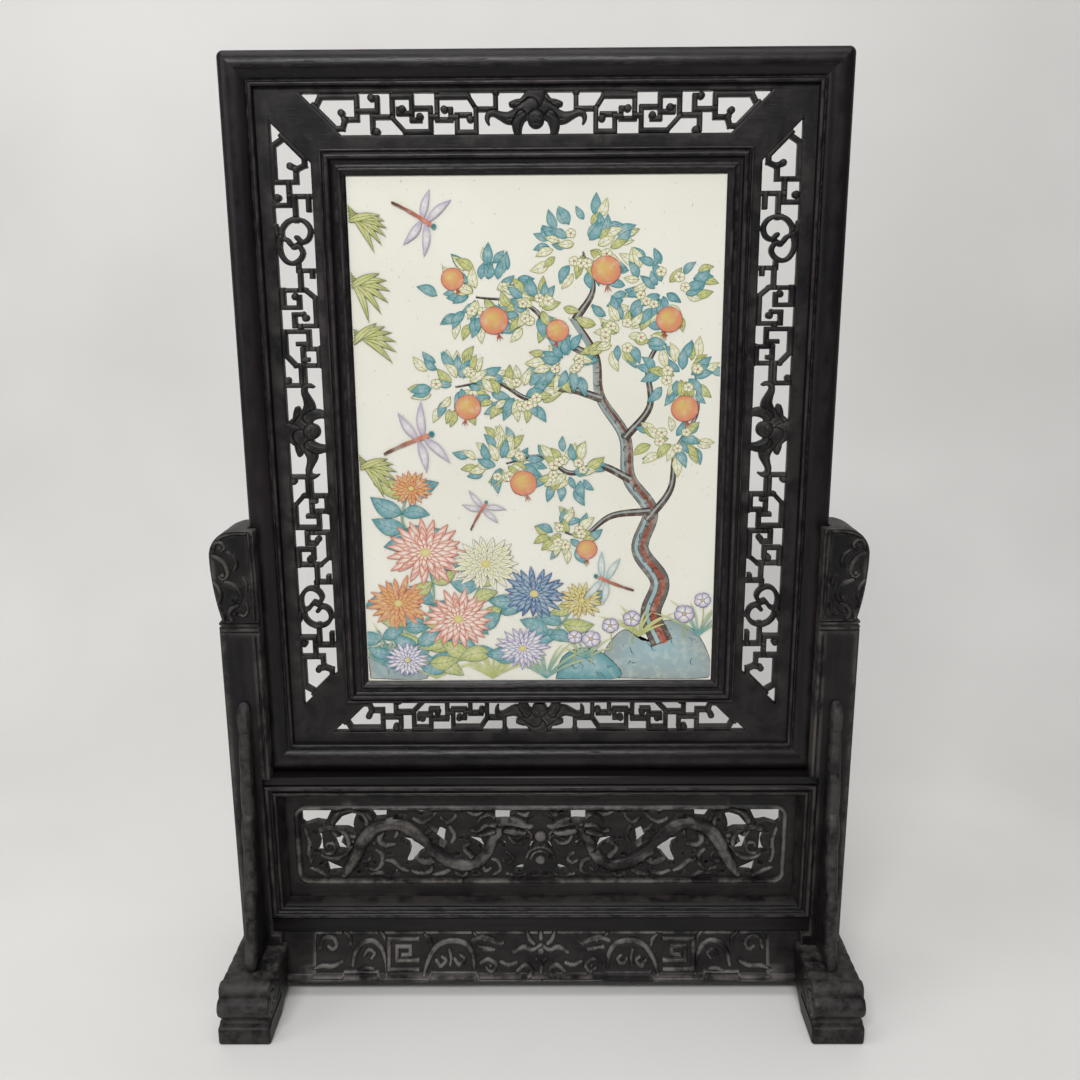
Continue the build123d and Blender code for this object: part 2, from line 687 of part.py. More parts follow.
parts = {
    "porcelain_plaque": plaque(),
    "back_board": back_board(),
    "right_post": post_right(),
    "right_foot": foot_right(),
    "upper_rail": waist_rail("top"),
    "lower_rail": waist_rail("bottom"),
    "waist_left_stile": member("left", waist_rect, waist_section(), waist_w),
    "waist_right_stile": member("right", waist_rect, waist_section(), waist_w),
    "waist_panel": waist_panel(),
    "front_apron": apron(-1),
    "back_apron": apron(1),
    "right_front_bracket": bracket(-1),
    "right_back_bracket": bracket(1),
}
for name in ("post", "foot", "front_bracket", "back_bracket"):
    parts["left_" + name] = left(parts["right_" + name])
for side in SIDES:
    kind = "rail" if side in ("top", "bottom") else "stile"
    parts[f"frame_{side}_{kind}"] = frame_rail(side)
    parts[f"fret_{side}"] = fret_board(side)
    parts[f"inner_{side}_moulding"] = member(
        side, moulding_rect, moulding_section(), moulding_w
    )
    parts[f"back_bead_{side}"] = back_bead(side)

os.makedirs("parts", exist_ok=True)
for name, shape in parts.items():
    export_step(shape, f"parts/{name}.step")
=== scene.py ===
"""Looks of a porcelain table screen: a painted plaque in a dark carved frame on a low stand.

Sizes are in millimetres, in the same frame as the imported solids, and become metres in piece().
"""
import math
import bmesh
import bpy
import numpy as np
from mathutils import Matrix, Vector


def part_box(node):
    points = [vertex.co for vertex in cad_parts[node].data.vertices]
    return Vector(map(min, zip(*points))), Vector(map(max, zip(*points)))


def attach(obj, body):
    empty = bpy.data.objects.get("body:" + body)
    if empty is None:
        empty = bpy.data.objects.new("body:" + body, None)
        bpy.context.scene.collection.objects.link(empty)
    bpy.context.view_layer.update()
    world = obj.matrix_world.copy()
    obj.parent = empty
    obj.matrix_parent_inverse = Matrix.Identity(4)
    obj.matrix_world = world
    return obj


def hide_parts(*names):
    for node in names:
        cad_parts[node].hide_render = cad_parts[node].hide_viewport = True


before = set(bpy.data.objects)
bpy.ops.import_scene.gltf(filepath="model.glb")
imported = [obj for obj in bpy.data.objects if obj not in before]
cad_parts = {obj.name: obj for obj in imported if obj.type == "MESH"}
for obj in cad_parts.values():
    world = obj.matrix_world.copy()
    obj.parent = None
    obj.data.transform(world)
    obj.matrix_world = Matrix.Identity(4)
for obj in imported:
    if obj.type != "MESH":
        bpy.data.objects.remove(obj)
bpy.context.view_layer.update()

MM = 0.001


def node_box(name):
    """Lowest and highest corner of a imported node, in millimetres."""
    low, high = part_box(name)
    return np.array(low) / MM, np.array(high) / MM


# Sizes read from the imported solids
_, frame_high = node_box("frame_top_rail")
stile_low, stile_high = node_box("frame_right_stile")
plaque_low, plaque_high = node_box("porcelain_plaque")
_, moulding_high = node_box("inner_top_moulding")
post_low, post_high = node_box("right_post")
foot_low, foot_high = node_box("right_foot")
apron_low, apron_high = node_box("front_apron")
waist_low_corner, waist_high_corner = node_box("waist_right_stile")

# Sizes of the frame and its mouldings
half_frame = stile_high[0]
frame_top = frame_high[2]
seat_z = stile_low[2]
rail_w = stile_high[0] - stile_low[0]
half_t = stile_high[1]
corner_r = 5.0
fret_front = -4.5
fret_back = 3.5
tongue = 4.0
moulding_w = 19.5
rebate = 3.0
slack = 0.4
post_floor = 58.0
FAR = 50.0
half_moulding = moulding_high[0]
moulding_top = moulding_high[2]
moulding_bottom = node_box("inner_bottom_moulding")[0][2]
sight = (half_moulding - moulding_w, moulding_bottom + moulding_w, moulding_top - moulding_w)
plaque_front = plaque_low[1]
frame_rect = (half_frame, seat_z, frame_top)
moulding_rect = (half_moulding, moulding_bottom, moulding_top)

# Camera fitted to the photograph, treated as 1080 x 1080
camera_mm = (7.8, -849.5, 613.6)
camera_pitch = math.radians(13.314)
camera_roll = math.radians(-0.34)
camera_yaw = math.radians(-0.446)
camera_lens = 35.0


def make_camera():
    """Forward, right and up vectors from yaw, pitch and roll, then a matrix from them."""
    forward = np.array([
        math.sin(camera_yaw) * math.cos(camera_pitch),
        math.cos(camera_yaw) * math.cos(camera_pitch),
        -math.sin(camera_pitch),
    ])
    level = np.array([math.cos(camera_yaw), -math.sin(camera_yaw), 0.0])
    upright = np.cross(level, forward)
    right = math.cos(camera_roll) * level + math.sin(camera_roll) * upright
    up = math.cos(camera_roll) * upright - math.sin(camera_roll) * level
    camera = bpy.data.objects.new("camera", bpy.data.cameras.new("camera"))
    bpy.context.scene.collection.objects.link(camera)
    camera.data.lens = camera_lens
    camera.data.sensor_width = 36.0
    camera.data.clip_start = 0.01
    place = np.array(camera_mm) * MM
    rows = [[right[i], up[i], -forward[i], place[i]] for i in range(3)]
    camera.matrix_world = Matrix(rows + [[0, 0, 0, 1]])
    bpy.context.scene.camera = camera


# Shader helpers

def tree_of(name):
    """A new material, its tree and its shader."""
    material = bpy.data.materials.new(name)
    material.use_nodes = True
    tree = material.node_tree
    return material, tree, tree.nodes["Principled BSDF"]


def add(tree, kind, **settings):
    """A node with its settings. A key that names an input sets that input's value."""
    node = tree.nodes.new(kind)
    for key, value in settings.items():
        if hasattr(node, key):
            setattr(node, key, value)
        else:
            node.inputs[key.replace("_", " ")].default_value = value
    return node


def join(tree, *pairs):
    """Links each source socket to its target."""
    for source, target in pairs:
        tree.links.new(source, target)


def mix_colour(tree, factor, first, second):
    """A colour mix whose inputs are sockets or plain colours."""
    node = tree.nodes.new("ShaderNodeMix")
    node.data_type = "RGBA"
    for socket, value in ((node.inputs[0], factor), (node.inputs[6], first), (node.inputs[7], second)):
        if isinstance(value, bpy.types.NodeSocket):
            tree.links.new(value, socket)
        else:
            socket.default_value = value
    return node.outputs[2]


def maths(tree, operation, first, second=None, clamp=False):
    """A sum on sockets or plain numbers."""
    node = tree.nodes.new("ShaderNodeMath")
    node.operation = operation
    node.use_clamp = clamp
    for socket, value in zip(node.inputs, (first, second)):
        if isinstance(value, bpy.types.NodeSocket):
            tree.links.new(value, socket)
        elif value is not None:
            socket.default_value = value
    return node.outputs[0]


def ramp(tree, value, low, high):
    """0 below low, 1 above high, smooth between."""
    node = tree.nodes.new("ShaderNodeMapRange")
    node.interpolation_type = "SMOOTHSTEP"
    node.inputs["From Min"].default_value = low
    node.inputs["From Max"].default_value = high
    tree.links.new(value, node.inputs["Value"])
    return node.outputs["Result"]


def noise(tree, vector, scale, detail=4.0, rough=0.55):
    """Cloudy noise from 0 to 1 over a vector."""
    node = add(tree, "ShaderNodeTexNoise", Scale=scale, Detail=detail, Roughness=rough)
    tree.links.new(vector, node.inputs["Vector"])
    return node.outputs["Fac"]


def new_group(name, inputs, outputs):
    """A shader node group with named sockets, given as {name: (kind, default)}."""
    group = bpy.data.node_groups.new(name, "ShaderNodeTree")
    for key, (kind, default) in inputs.items():
        socket = group.interface.new_socket(key, in_out="INPUT", socket_type=kind)
        if default is not None:
            socket.default_value = default
    for key, kind in outputs.items():
        group.interface.new_socket(key, in_out="OUTPUT", socket_type=kind)
    start = group.nodes.new("NodeGroupInput")
    end = group.nodes.new("NodeGroupOutput")
    return group, start.outputs, end.inputs


FLOAT = "NodeSocketFloat"
VECTOR = "NodeSocketVector"


def grain_group():
    """Long fibres and open pores that run along the first axis of the given vector."""
    group, given, result = new_group(
        "grain", {"Vector": (VECTOR, None)}, {"Streaks": FLOAT, "Pores": FLOAT, "Height": FLOAT}
    )
    long = add(group, "ShaderNodeMapping", Scale=(1.0, 14.0, 14.0))
    join(group, (given["Vector"], long.inputs["Vector"]))
    streaks = noise(group, long.outputs[0], 9.0, 5.0, 0.6)
    short = add(group, "ShaderNodeMapping", Scale=(1.0, 26.0, 26.0))
    join(group, (given["Vector"], short.inputs["Vector"]))
    fine = noise(group, short.outputs[0], 70.0, 2.0, 0.5)
    pores = ramp(group, fine, 0.6, 0.7)
    height = maths(group, "SUBTRACT", maths(group, "MULTIPLY", streaks, 0.35), pores)
    join(group, (streaks, result["Streaks"]), (pores, result["Pores"]), (height, result["Height"]))
    return group


def ageing_group():
    """Where handling has worn the wood and where dust has settled, from the shape's own marks."""
    group, given, result = new_group(
        "ageing",
        {"Vector": (VECTOR, None), "Worn": (FLOAT, 0.0), "Dust": (FLOAT, 0.0)},
        {"Wear": FLOAT, "Dirt": FLOAT},
    )
    patch = noise(group, given["Vector"], 45.0, 6.0, 0.65)
    wear = maths(group, "MULTIPLY", given["Worn"], ramp(group, patch, 0.38, 0.62))
    cloud = noise(group, given["Vector"], 130.0, 5.0, 0.7)
    dirt = maths(group, "MULTIPLY", given["Dust"], ramp(group, cloud, 0.4, 0.68))
    join(group, (wear, result["Wear"]), (dirt, result["Dirt"]))
    return group


GRAIN = grain_group()
AGEING = ageing_group()


def dark_wood(name, deep, streak, worn, dusty, gloss, bump):
    """Near-black hardwood: deep and streak are the two tones of its grain, gloss its roughness."""
    material, tree, shader = tree_of(name)
    run = add(tree, "ShaderNodeAttribute", attribute_name="grain")
    marks = add(tree, "ShaderNodeAttribute", attribute_name="marks")
    split = tree.nodes.new("ShaderNodeSeparateXYZ")
    grain = add(tree, "ShaderNodeGroup", node_tree=GRAIN)
    age = add(tree, "ShaderNodeGroup", node_tree=AGEING)
    join(
        tree,
        (run.outputs["Vector"], grain.inputs["Vector"]),
        (run.outputs["Vector"], age.inputs["Vector"]),
        (marks.outputs["Vector"], split.inputs[0]),
        (split.outputs["X"], age.inputs["Worn"]),
        (split.outputs["Y"], age.inputs["Dust"]),
    )
    tone = mix_colour(tree, ramp(tree, grain.outputs["Streaks"], 0.35, 0.7), deep, streak)
    tone = mix_colour(tree, maths(tree, "MULTIPLY", age.outputs["Wear"], 0.8), tone, worn)
    tone = mix_colour(tree, maths(tree, "MULTIPLY", age.outputs["Dirt"], 0.6), tone, dusty)
    join(tree, (tone, shader.inputs["Base Color"]))
    broad = noise(tree, run.outputs["Vector"], 30.0, 3.0, 0.5)
    rough = maths(tree, "ADD", maths(tree, "MULTIPLY", broad, 0.16), gloss - 0.08)
    rough = maths(tree, "ADD", rough, maths(tree, "MULTIPLY", age.outputs["Dirt"], 0.3), True)
    join(tree, (rough, shader.inputs["Roughness"]))
    relief = add(tree, "ShaderNodeBump", Strength=bump, Distance=0.0002)
    join(tree, (grain.outputs["Height"], relief.inputs["Height"]))
    uneven = add(tree, "ShaderNodeBump", Strength=0.35, Distance=0.0006)
    hand = noise(tree, run.outputs["Vector"], 85.0, 3.0, 0.6)
    join(tree, (hand, uneven.inputs["Height"]), (relief.outputs[0], uneven.inputs["Normal"]))
    join(tree, (uneven.outputs[0], shader.inputs["Normal"]))
    shader.inputs["Specular IOR Level"].default_value = 0.23
    return material


# Frame, stand, carved boards, and boards in low relief

frame_wood = dark_wood(
    "frame_wood", (0.003, 0.0022, 0.0027, 1), (0.0105, 0.0072, 0.008, 1), (0.06, 0.048, 0.05, 1),
    (0.1, 0.095, 0.09, 1), 0.34, 0.35,
)
stand_wood = dark_wood(
    "stand_wood", (0.0035, 0.0028, 0.003, 1), (0.0105, 0.0082, 0.0084, 1), (0.07, 0.06, 0.056, 1),
    (0.1, 0.095, 0.09, 1), 0.36, 0.35,
)
carved_wood = dark_wood(
    "carved_wood", (0.003, 0.0024, 0.0028, 1), (0.0085, 0.0068, 0.0072, 1), (0.085, 0.075, 0.07, 1),
    (0.06, 0.056, 0.053, 1), 0.45, 0.3,
)
relief_wood = dark_wood(
    "relief_wood", (0.0055, 0.0046, 0.0048, 1), (0.014, 0.0118, 0.0115, 1), (0.16, 0.145, 0.135, 1),
    (0.022, 0.02, 0.019, 1), 0.4, 0.3,
)


def porcelain_material():
    """Cream glaze with a faint unevenness and a few pin specks."""
    material, tree, shader = tree_of("porcelain_glaze")
    place = tree.nodes.new("ShaderNodeTexCoord")
    cloud = noise(tree, place.outputs["Object"], 9.0, 3.0, 0.5)
    tone = mix_colour(tree, ramp(tree, cloud, 0.3, 0.7), (0.74, 0.725, 0.63, 1), (0.78, 0.765, 0.68, 1))
    specks = noise(tree, place.outputs["Object"], 420.0, 0.0, 0.5)
    tone = mix_colour(tree, maths(tree, "MULTIPLY", ramp(tree, specks, 0.8, 0.86), 0.35), tone,
                      (0.3, 0.26, 0.2, 1))
    join(tree, (tone, shader.inputs["Base Color"]))
    wave = add(tree, "ShaderNodeBump", Strength=0.12, Distance=0.001)
    ripple = noise(tree, place.outputs["Object"], 28.0, 2.0, 0.5)
    join(tree, (ripple, wave.inputs["Height"]), (wave.outputs[0], shader.inputs["Normal"]))
    shader.inputs["Roughness"].default_value = 0.16
    shader.inputs["Coat Weight"].default_value = 0.3
    shader.inputs["Coat Roughness"].default_value = 0.06
    return material


def backing_material():
    """Thin stained board behind the plaque, with flat grain."""
    material, tree, shader = tree_of("backing_board")
    place = tree.nodes.new("ShaderNodeTexCoord")
    turn = add(tree, "ShaderNodeMapping", Rotation=(0, math.radians(90), 0))
    grain = add(tree, "ShaderNodeGroup", node_tree=GRAIN)
    join(tree, (place.outputs["Object"], turn.inputs[0]), (turn.outputs[0], grain.inputs["Vector"]))
    tone = mix_colour(tree, ramp(tree, grain.outputs["Streaks"], 0.35, 0.65), (0.075, 0.036, 0.02, 1),
                      (0.13, 0.068, 0.038, 1))
    tone = mix_colour(tree, maths(tree, "MULTIPLY", grain.outputs["Pores"], 0.5), tone,
                      (0.03, 0.015, 0.01, 1))
    join(tree, (tone, shader.inputs["Base Color"]))
    relief = add(tree, "ShaderNodeBump", Strength=0.4, Distance=0.0003)
    join(tree, (grain.outputs["Height"], relief.inputs["Height"]),
         (relief.outputs[0], shader.inputs["Normal"]))
    shader.inputs["Roughness"].default_value = 0.6
    return material


# Mesh helpers

RUNS = {"x": (0, 1, 2), "y": (1, 0, 2), "z": (2, 0, 1)}
made = []


def piece(name, body, points, faces, material, run="x", marks=None, stands_for=(),
          crease=40.0):
    """A mesh from points in millimetres and lists of faces, riding on a body.

    The grain attribute is the point with the fibre's axis first, shifted so that no two pieces
    share one board. marks holds wear and dust from 0 to 1 for each point.
    """
    points = np.asarray(points, float).reshape(-1, 3)
    mesh = bpy.data.meshes.new(name)
    sides = [np.asarray(face, int) for face in (faces if isinstance(faces, list) else [faces])]
    corners = np.concatenate([side.ravel() for side in sides])
    totals = np.concatenate([np.full(len(side), side.shape[1]) for side in sides])
    mesh.vertices.add(len(points))
    mesh.vertices.foreach_set("co", (points * MM).ravel())
    mesh.loops.add(len(corners))
    mesh.loops.foreach_set("vertex_index", corners)
    mesh.polygons.add(len(totals))
    mesh.polygons.foreach_set("loop_start", np.concatenate([[0], np.cumsum(totals)[:-1]]))
    mesh.polygons.foreach_set("loop_total", totals)
    mesh.update(calc_edges=True)
    mesh.validate()
    mesh.shade_smooth()
    mesh.set_sharp_from_angle(angle=math.radians(crease))
    offset = np.array([0.37, 0.11, 0.23]) * (len(made) + 1)
    grain = mesh.attributes.new("grain", "FLOAT_VECTOR", "POINT")
    grain.data.foreach_set("vector", (points[:, RUNS[run]] * MM + offset).ravel())
    worn = np.zeros((len(points), 3))
    if marks is not None:
        worn[:, :2] = marks
    field = mesh.attributes.new("marks", "FLOAT_VECTOR", "POINT")
    field.data.foreach_set("vector", worn.ravel())
    mesh.materials.append(material)
    item = bpy.data.objects.new(name, mesh)
    bpy.context.scene.collection.objects.link(item)
    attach(item, body)
    if stands_for:
        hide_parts(*([stands_for] if isinstance(stands_for, str) else stands_for))
    made.append(name)
    return item


def arc(centre, radius, start, stop, count):
    """Points on an arc, angles in degrees."""
    turn = np.radians(np.linspace(start, stop, count))
    return np.stack([centre[0] + radius * np.cos(turn), centre[1] + radius * np.sin(turn)], 1)


def through(first, middle, last, count=9):
    """Points on the circle's arc from first to last that passes through middle."""
    a, b, c = (np.asarray(p, float) for p in (first, middle, last))
    rows = np.array([b - a, c - a])
    sums = np.array([b @ b - a @ a, c @ c - a @ a]) / 2
    centre = np.linalg.solve(rows, sums)
    radius = np.linalg.norm(a - centre)
    angle = [math.atan2(*(p - centre)[::-1]) for p in (a, b, c)]
    sweep = (angle[2] - angle[0]) % (2 * math.pi)
    if (angle[1] - angle[0]) % (2 * math.pi) > sweep:
        sweep -= 2 * math.pi
    turn = angle[0] + sweep * np.linspace(0, 1, count)
    return np.stack([centre[0] + radius * np.cos(turn), centre[1] + radius * np.sin(turn)], 1)


def outline(*runs):
    """One closed loop of points from runs that follow each other, without repeats."""
    points = np.concatenate([np.asarray(run, float).reshape(-1, 2) for run in runs])
    apart = np.linalg.norm(points - np.roll(points, 1, 0), axis=1) > 1e-6
    return points[apart]


SIDES = ("top", "right", "bottom", "left")


def framed(side, rect, along, inward):
    """X and Z of points along one side of a rectangle, given from its middle and from its edge."""
    half, low, high = rect
    middle = (low + high) / 2
    if side == "top":
        return along, high - inward
    if side == "bottom":
        return along, low + inward
    if side == "right":
        return half - inward, middle + along
    return -half + inward, middle + along


def sweep_side(side, rect, profile, stations, ease=0.0):
    """Points of a profile carried along one side of a rectangle, mitred at both ends.

    profile rows are (distance inwards, depth). Near a corner the rows nearer the edge than
    ease follow an arc about the corner's centre, and the rest close in on the mitre.
    """
    half, low, high = rect
    reach = half if side in ("top", "bottom") else (high - low) / 2
    inward = profile[:, 0][None, :]
    depth = np.broadcast_to(profile[:, 1][None, :], (1, len(profile)))
    middle = np.linspace(-1, 1, stations)[:, None]
    turns = np.radians(np.linspace(45, 90, 5))[:, None] if ease else np.zeros((0, 1))
    radius = np.maximum(ease - inward, 0)
    beyond = np.maximum(inward - ease, 0)
    bend = turns[:-1]
    spread = (bend - math.pi / 4) / (math.pi / 4)
    end_along = reach - ease + radius * np.cos(bend) - beyond - 0.25 * beyond * spread
    end_in = np.where(inward < ease, ease - radius * np.sin(bend), inward)
    body_reach = reach - ease - beyond * (1.25 if ease else 1.0)
    along = np.concatenate([-end_along, middle * body_reach, end_along[::-1]])
    rows = np.concatenate([end_in, np.broadcast_to(inward, (stations, len(profile))), end_in[::-1]])
    x, z = framed(side, rect, along, rows)
    y = np.broadcast_to(depth, x.shape)
    return np.stack([x, y, z], 2)


def skin(grid, flip=False):
    """Quads between the rows of a grid whose rows are closed loops, and a cap at each end."""
    rows, columns = grid.shape[:2]
    index = np.arange(rows * columns).reshape(rows, columns)
    after = np.roll(index, -1, 1)
    quads = np.stack([index[:-1], after[:-1], after[1:], index[1:]], 2).reshape(-1, 4)
    first = index[0][::-1][None]
    last = index[-1][None]
    if flip:
        quads, first, last = quads[:, ::-1], first[:, ::-1], last[:, ::-1]
    return [quads, first, last]


def edge_marks(profile, worn_rows, dust_rows):
    """Wear and dust for each point of a profile, from rows of (place, width, amount)."""
    marks = np.zeros((len(profile), 2))
    for column, rows in ((0, worn_rows), (1, dust_rows)):
        for place, width, amount in rows:
            gap = np.abs(profile[:, 0] - place) / width
            marks[:, column] = np.maximum(marks[:, column], amount * np.clip(1 - gap, 0, 1))
    marks[profile[:, 1] > 0] *= 0.6
    return marks


def swept(name, body, side, rect, profile, material, stands_for, stations=25, ease=0.0, marks=None):
    """A piece whose profile is carried along one side of a rectangle."""
    grid = sweep_side(side, rect, profile, stations, ease)
    rows = grid.shape[0]
    given = None if marks is None else np.tile(marks, (rows, 1))
    run = "x" if side in ("top", "bottom") else "z"
    flip = side in ("top", "right")
    return piece(name, body, grid, skin(grid, flip), material, run, given, stands_for=stands_for)


# Carving: relief drawn on a flat grid, then made a closed mesh

def smooth_line(points, samples=6):
    """Points on a curve through the given ones: each stretch is the cubic that leaves and
    arrives along the line between its neighbours."""
    given = np.asarray(points, float)
    far = np.concatenate([2 * given[:1] - given[1:2], given, 2 * given[-1:] - given[-2:-1]])
    a, b, c, d = far[:-3], far[1:-2], far[2:-1], far[3:]
    t = np.linspace(0, 1, samples, endpoint=False)[:, None, None]
    bend = (2 * a - 5 * b + 4 * c - d) * t**2 + (3 * b - a - 3 * c + d) * t**3
    curve = 0.5 * (2 * b + (c - a) * t + bend)
    return np.concatenate([curve.transpose(1, 0, 2).reshape(-1, given.shape[1]), given[-1:]])


def spiral(centre, start_radius, end_radius, start, sweep, width, thin=None, count=24):
    """Rows of (u, v, half width) on a spiral whose radius shrinks evenly; angles in degrees."""
    share = np.linspace(0, 1, count)
    turn = np.radians(start + sweep * share)
    radius = start_radius + (end_radius - start_radius) * share
    half = width + ((width if thin is None else thin) - width) * share
    return np.stack([centre[0] + radius * np.cos(turn), centre[1] + radius * np.sin(turn), half], 1)


def rounded(share):
    """Height on a quarter circle, the root of 1 - (1 - share) squared."""
    return np.sqrt(np.maximum(1 - (1 - share) ** 2, 0))


def fading(gap, width):
    """1 where the gap is 0, falling evenly to 0 at the width."""
    return np.clip(1 - gap / width, 0, 1)


def blurred(field, reach):
    """Mean over a square of 2 reach + 1 grid points a side, by running sums."""
    for axis in (0, 1):
        margin = [(reach + 1, reach) if axis == k else (0, 0) for k in (0, 1)]
        total = np.cumsum(np.pad(field, margin, mode="edge"), axis)
        here = np.arange(field.shape[axis])
        field = (np.take(total, here + 2 * reach + 1, axis) - np.take(total, here, axis)) / (2 * reach + 1)
    return field


class Carving:
    """A relief on a grid of flat places u and v.

    out is the distance outside the solid, negative inside it; high is the height of the relief.
    """

    def __init__(self, u_lines, v_lines):
        self.u_lines = np.asarray(u_lines, float)
        self.v_lines = np.asarray(v_lines, float)
        self.u, self.v = np.meshgrid(self.u_lines, self.v_lines, indexing="ij")
        self.out = np.full(self.u.shape, FAR)
        self.high = np.zeros(self.u.shape)
        self.extra = np.zeros(self.u.shape + (2,))

    def window(self, low, high):
        """Slices of the grid between two corners."""
        u0, u1 = np.searchsorted(self.u_lines, (low[0], high[0]))
        v0, v1 = np.searchsorted(self.v_lines, (low[1], high[1]))
        return slice(u0, u1), slice(v0, v1)

    def near(self, line, reach, square=False):
        """Gap to the edge of a run of (u, v, half width) and the way along it, in a window.

        The gap is the distance to the nearest stretch less the half width there. A square
        run measures the distance past its ends and beside it apart, which keeps corners square.
        """
        line = np.asarray(line, float)
        pad = reach + line[:, 2].max()
        area = self.window(line[:, :2].min(0) - pad, line[:, :2].max(0) + pad)
        gap = np.full(self.u[area].shape, FAR)
        way = np.zeros(gap.shape)
        side = np.zeros(gap.shape)
        start = 0.0
        for a, b in zip(line[:-1], line[1:]):
            step = b[:2] - a[:2]
            length = math.hypot(*step)
            if length < 1e-9:
                continue
            part = self.window(np.minimum(a[:2], b[:2]) - pad, np.maximum(a[:2], b[:2]) + pad)
            here = tuple(
                slice(p.start - w.start, max(p.stop - w.start, 0)) for p, w in zip(part, area)
            )
            du, dv = self.u[part] - a[0], self.v[part] - a[1]
            along = (du * step[0] + dv * step[1]) / length
            across = (dv * step[0] - du * step[1]) / length
            past = np.maximum(np.maximum(-along, along - length), 0)
            share = np.clip(along / length, 0, 1)
            away = np.maximum(past, abs(across)) if square else np.hypot(past, across)
            new = away - (a[2] + (b[2] - a[2]) * share)
            closer = new < gap[here]
            gap[here] = np.where(closer, new, gap[here])
            way[here] = np.where(closer, start + share * length, way[here])
            side[here] = np.where(closer, across, side[here])
            start += length
        return area, gap, way, side

    def raise_line(self, line, rise, base=0.0, ditch=0.25, ditch_w=0.5, solid=True, square=False):
        """A rounded ridge over what is there, with a ditch beside it.

        Its height above base goes from 0 at its edge to rise at its middle, on an ellipse."""
        area, gap, way, side = self.near(line, ditch_w + 1.0, square)
        half = np.asarray(line, float)[:, 2].max()
        depth = np.clip(-gap / half, 0, 1)
        ridge = base + rise * rounded(depth)
        high = self.high[area]
        high = np.where(gap < ditch_w, np.minimum(high, base - ditch), high)
        self.high[area] = np.where(gap < 0, ridge, high)
        if solid:
            self.out[area] = np.minimum(self.out[area], gap)
        return area, gap, way, side

    def cut_line(self, line, depth):
        """A rounded groove whose edge lies at the line's half width."""
        area, gap = self.near(line, 0.5)[:2]
        half = np.asarray(line, float)[:, 2].max()
        self.high[area] -= depth * np.sqrt(np.clip(-gap / half, 0, 1))

    def dome(self, centre, radius, rise, base=0.0, ditch=0.3, ditch_w=0.6, solid=True):
        """A round boss that swells from base to base + rise."""
        far = np.array([radius + ditch_w + 1.0] * 2)
        area = self.window(np.array(centre) - far, np.array(centre) + far)
        gap = np.hypot(self.u[area] - centre[0], self.v[area] - centre[1]) - radius
        swell = base + rise * np.sqrt(np.clip(-gap / radius * 2 - (gap / radius) ** 2, 0, 1))
        high = np.where(gap < ditch_w, np.minimum(self.high[area], base - ditch), self.high[area])
        self.high[area] = np.where(gap < 0, swell, high)
        if solid:
            self.out[area] = np.minimum(self.out[area], gap)

    def soften(self, radius):
        """Rounds the relief down towards the solid's edge, on a quarter circle of that radius."""
        deep = np.clip(-self.out, 0, radius)
        drop = radius - np.sqrt(np.maximum(radius**2 - (radius - deep) ** 2, 0))
        self.high -= drop

    def marks(self, reach, full, base_wear=0.0):
        """Wear where the relief stands above its surroundings and dust where it lies below."""
        solid = (self.out < 0).astype(float)
        share = blurred(solid, reach)
        mean = blurred(self.high * solid, reach) / np.maximum(share, 1e-3)
        proud = (self.high - mean) / full
        worn = np.clip(proud, 0, 1) + base_wear + self.extra[..., 0]
        dust = np.clip(-proud, 0, 1) + self.extra[..., 1]
        return np.clip(np.stack([worn, dust], 2), 0, 1)


def cell_cases():
    """For each pattern of solid corners: the cell's polygon, and the stretches of outline in it.

    Corners are 0 to 3, anticlockwise, and 4 to 7 are the crossings on the sides that follow them.
    """
    cases = []
    for code in range(16):
        inside = [bool(code >> k & 1) for k in range(4)]
        ring = []
        for k in range(4):
            if inside[k]:
                ring.append(k)
            if inside[k] != inside[(k + 1) % 4]:
                ring.append(4 + k)
        pairs = list(zip(ring, ring[1:] + ring[:1]))
        borders = [(a, b) for a, b in pairs if a > 3 and b > 3 and not inside[(a - 3) % 4]]
        cases.append((ring, borders))
    return cases


CELL_CASES = cell_cases()


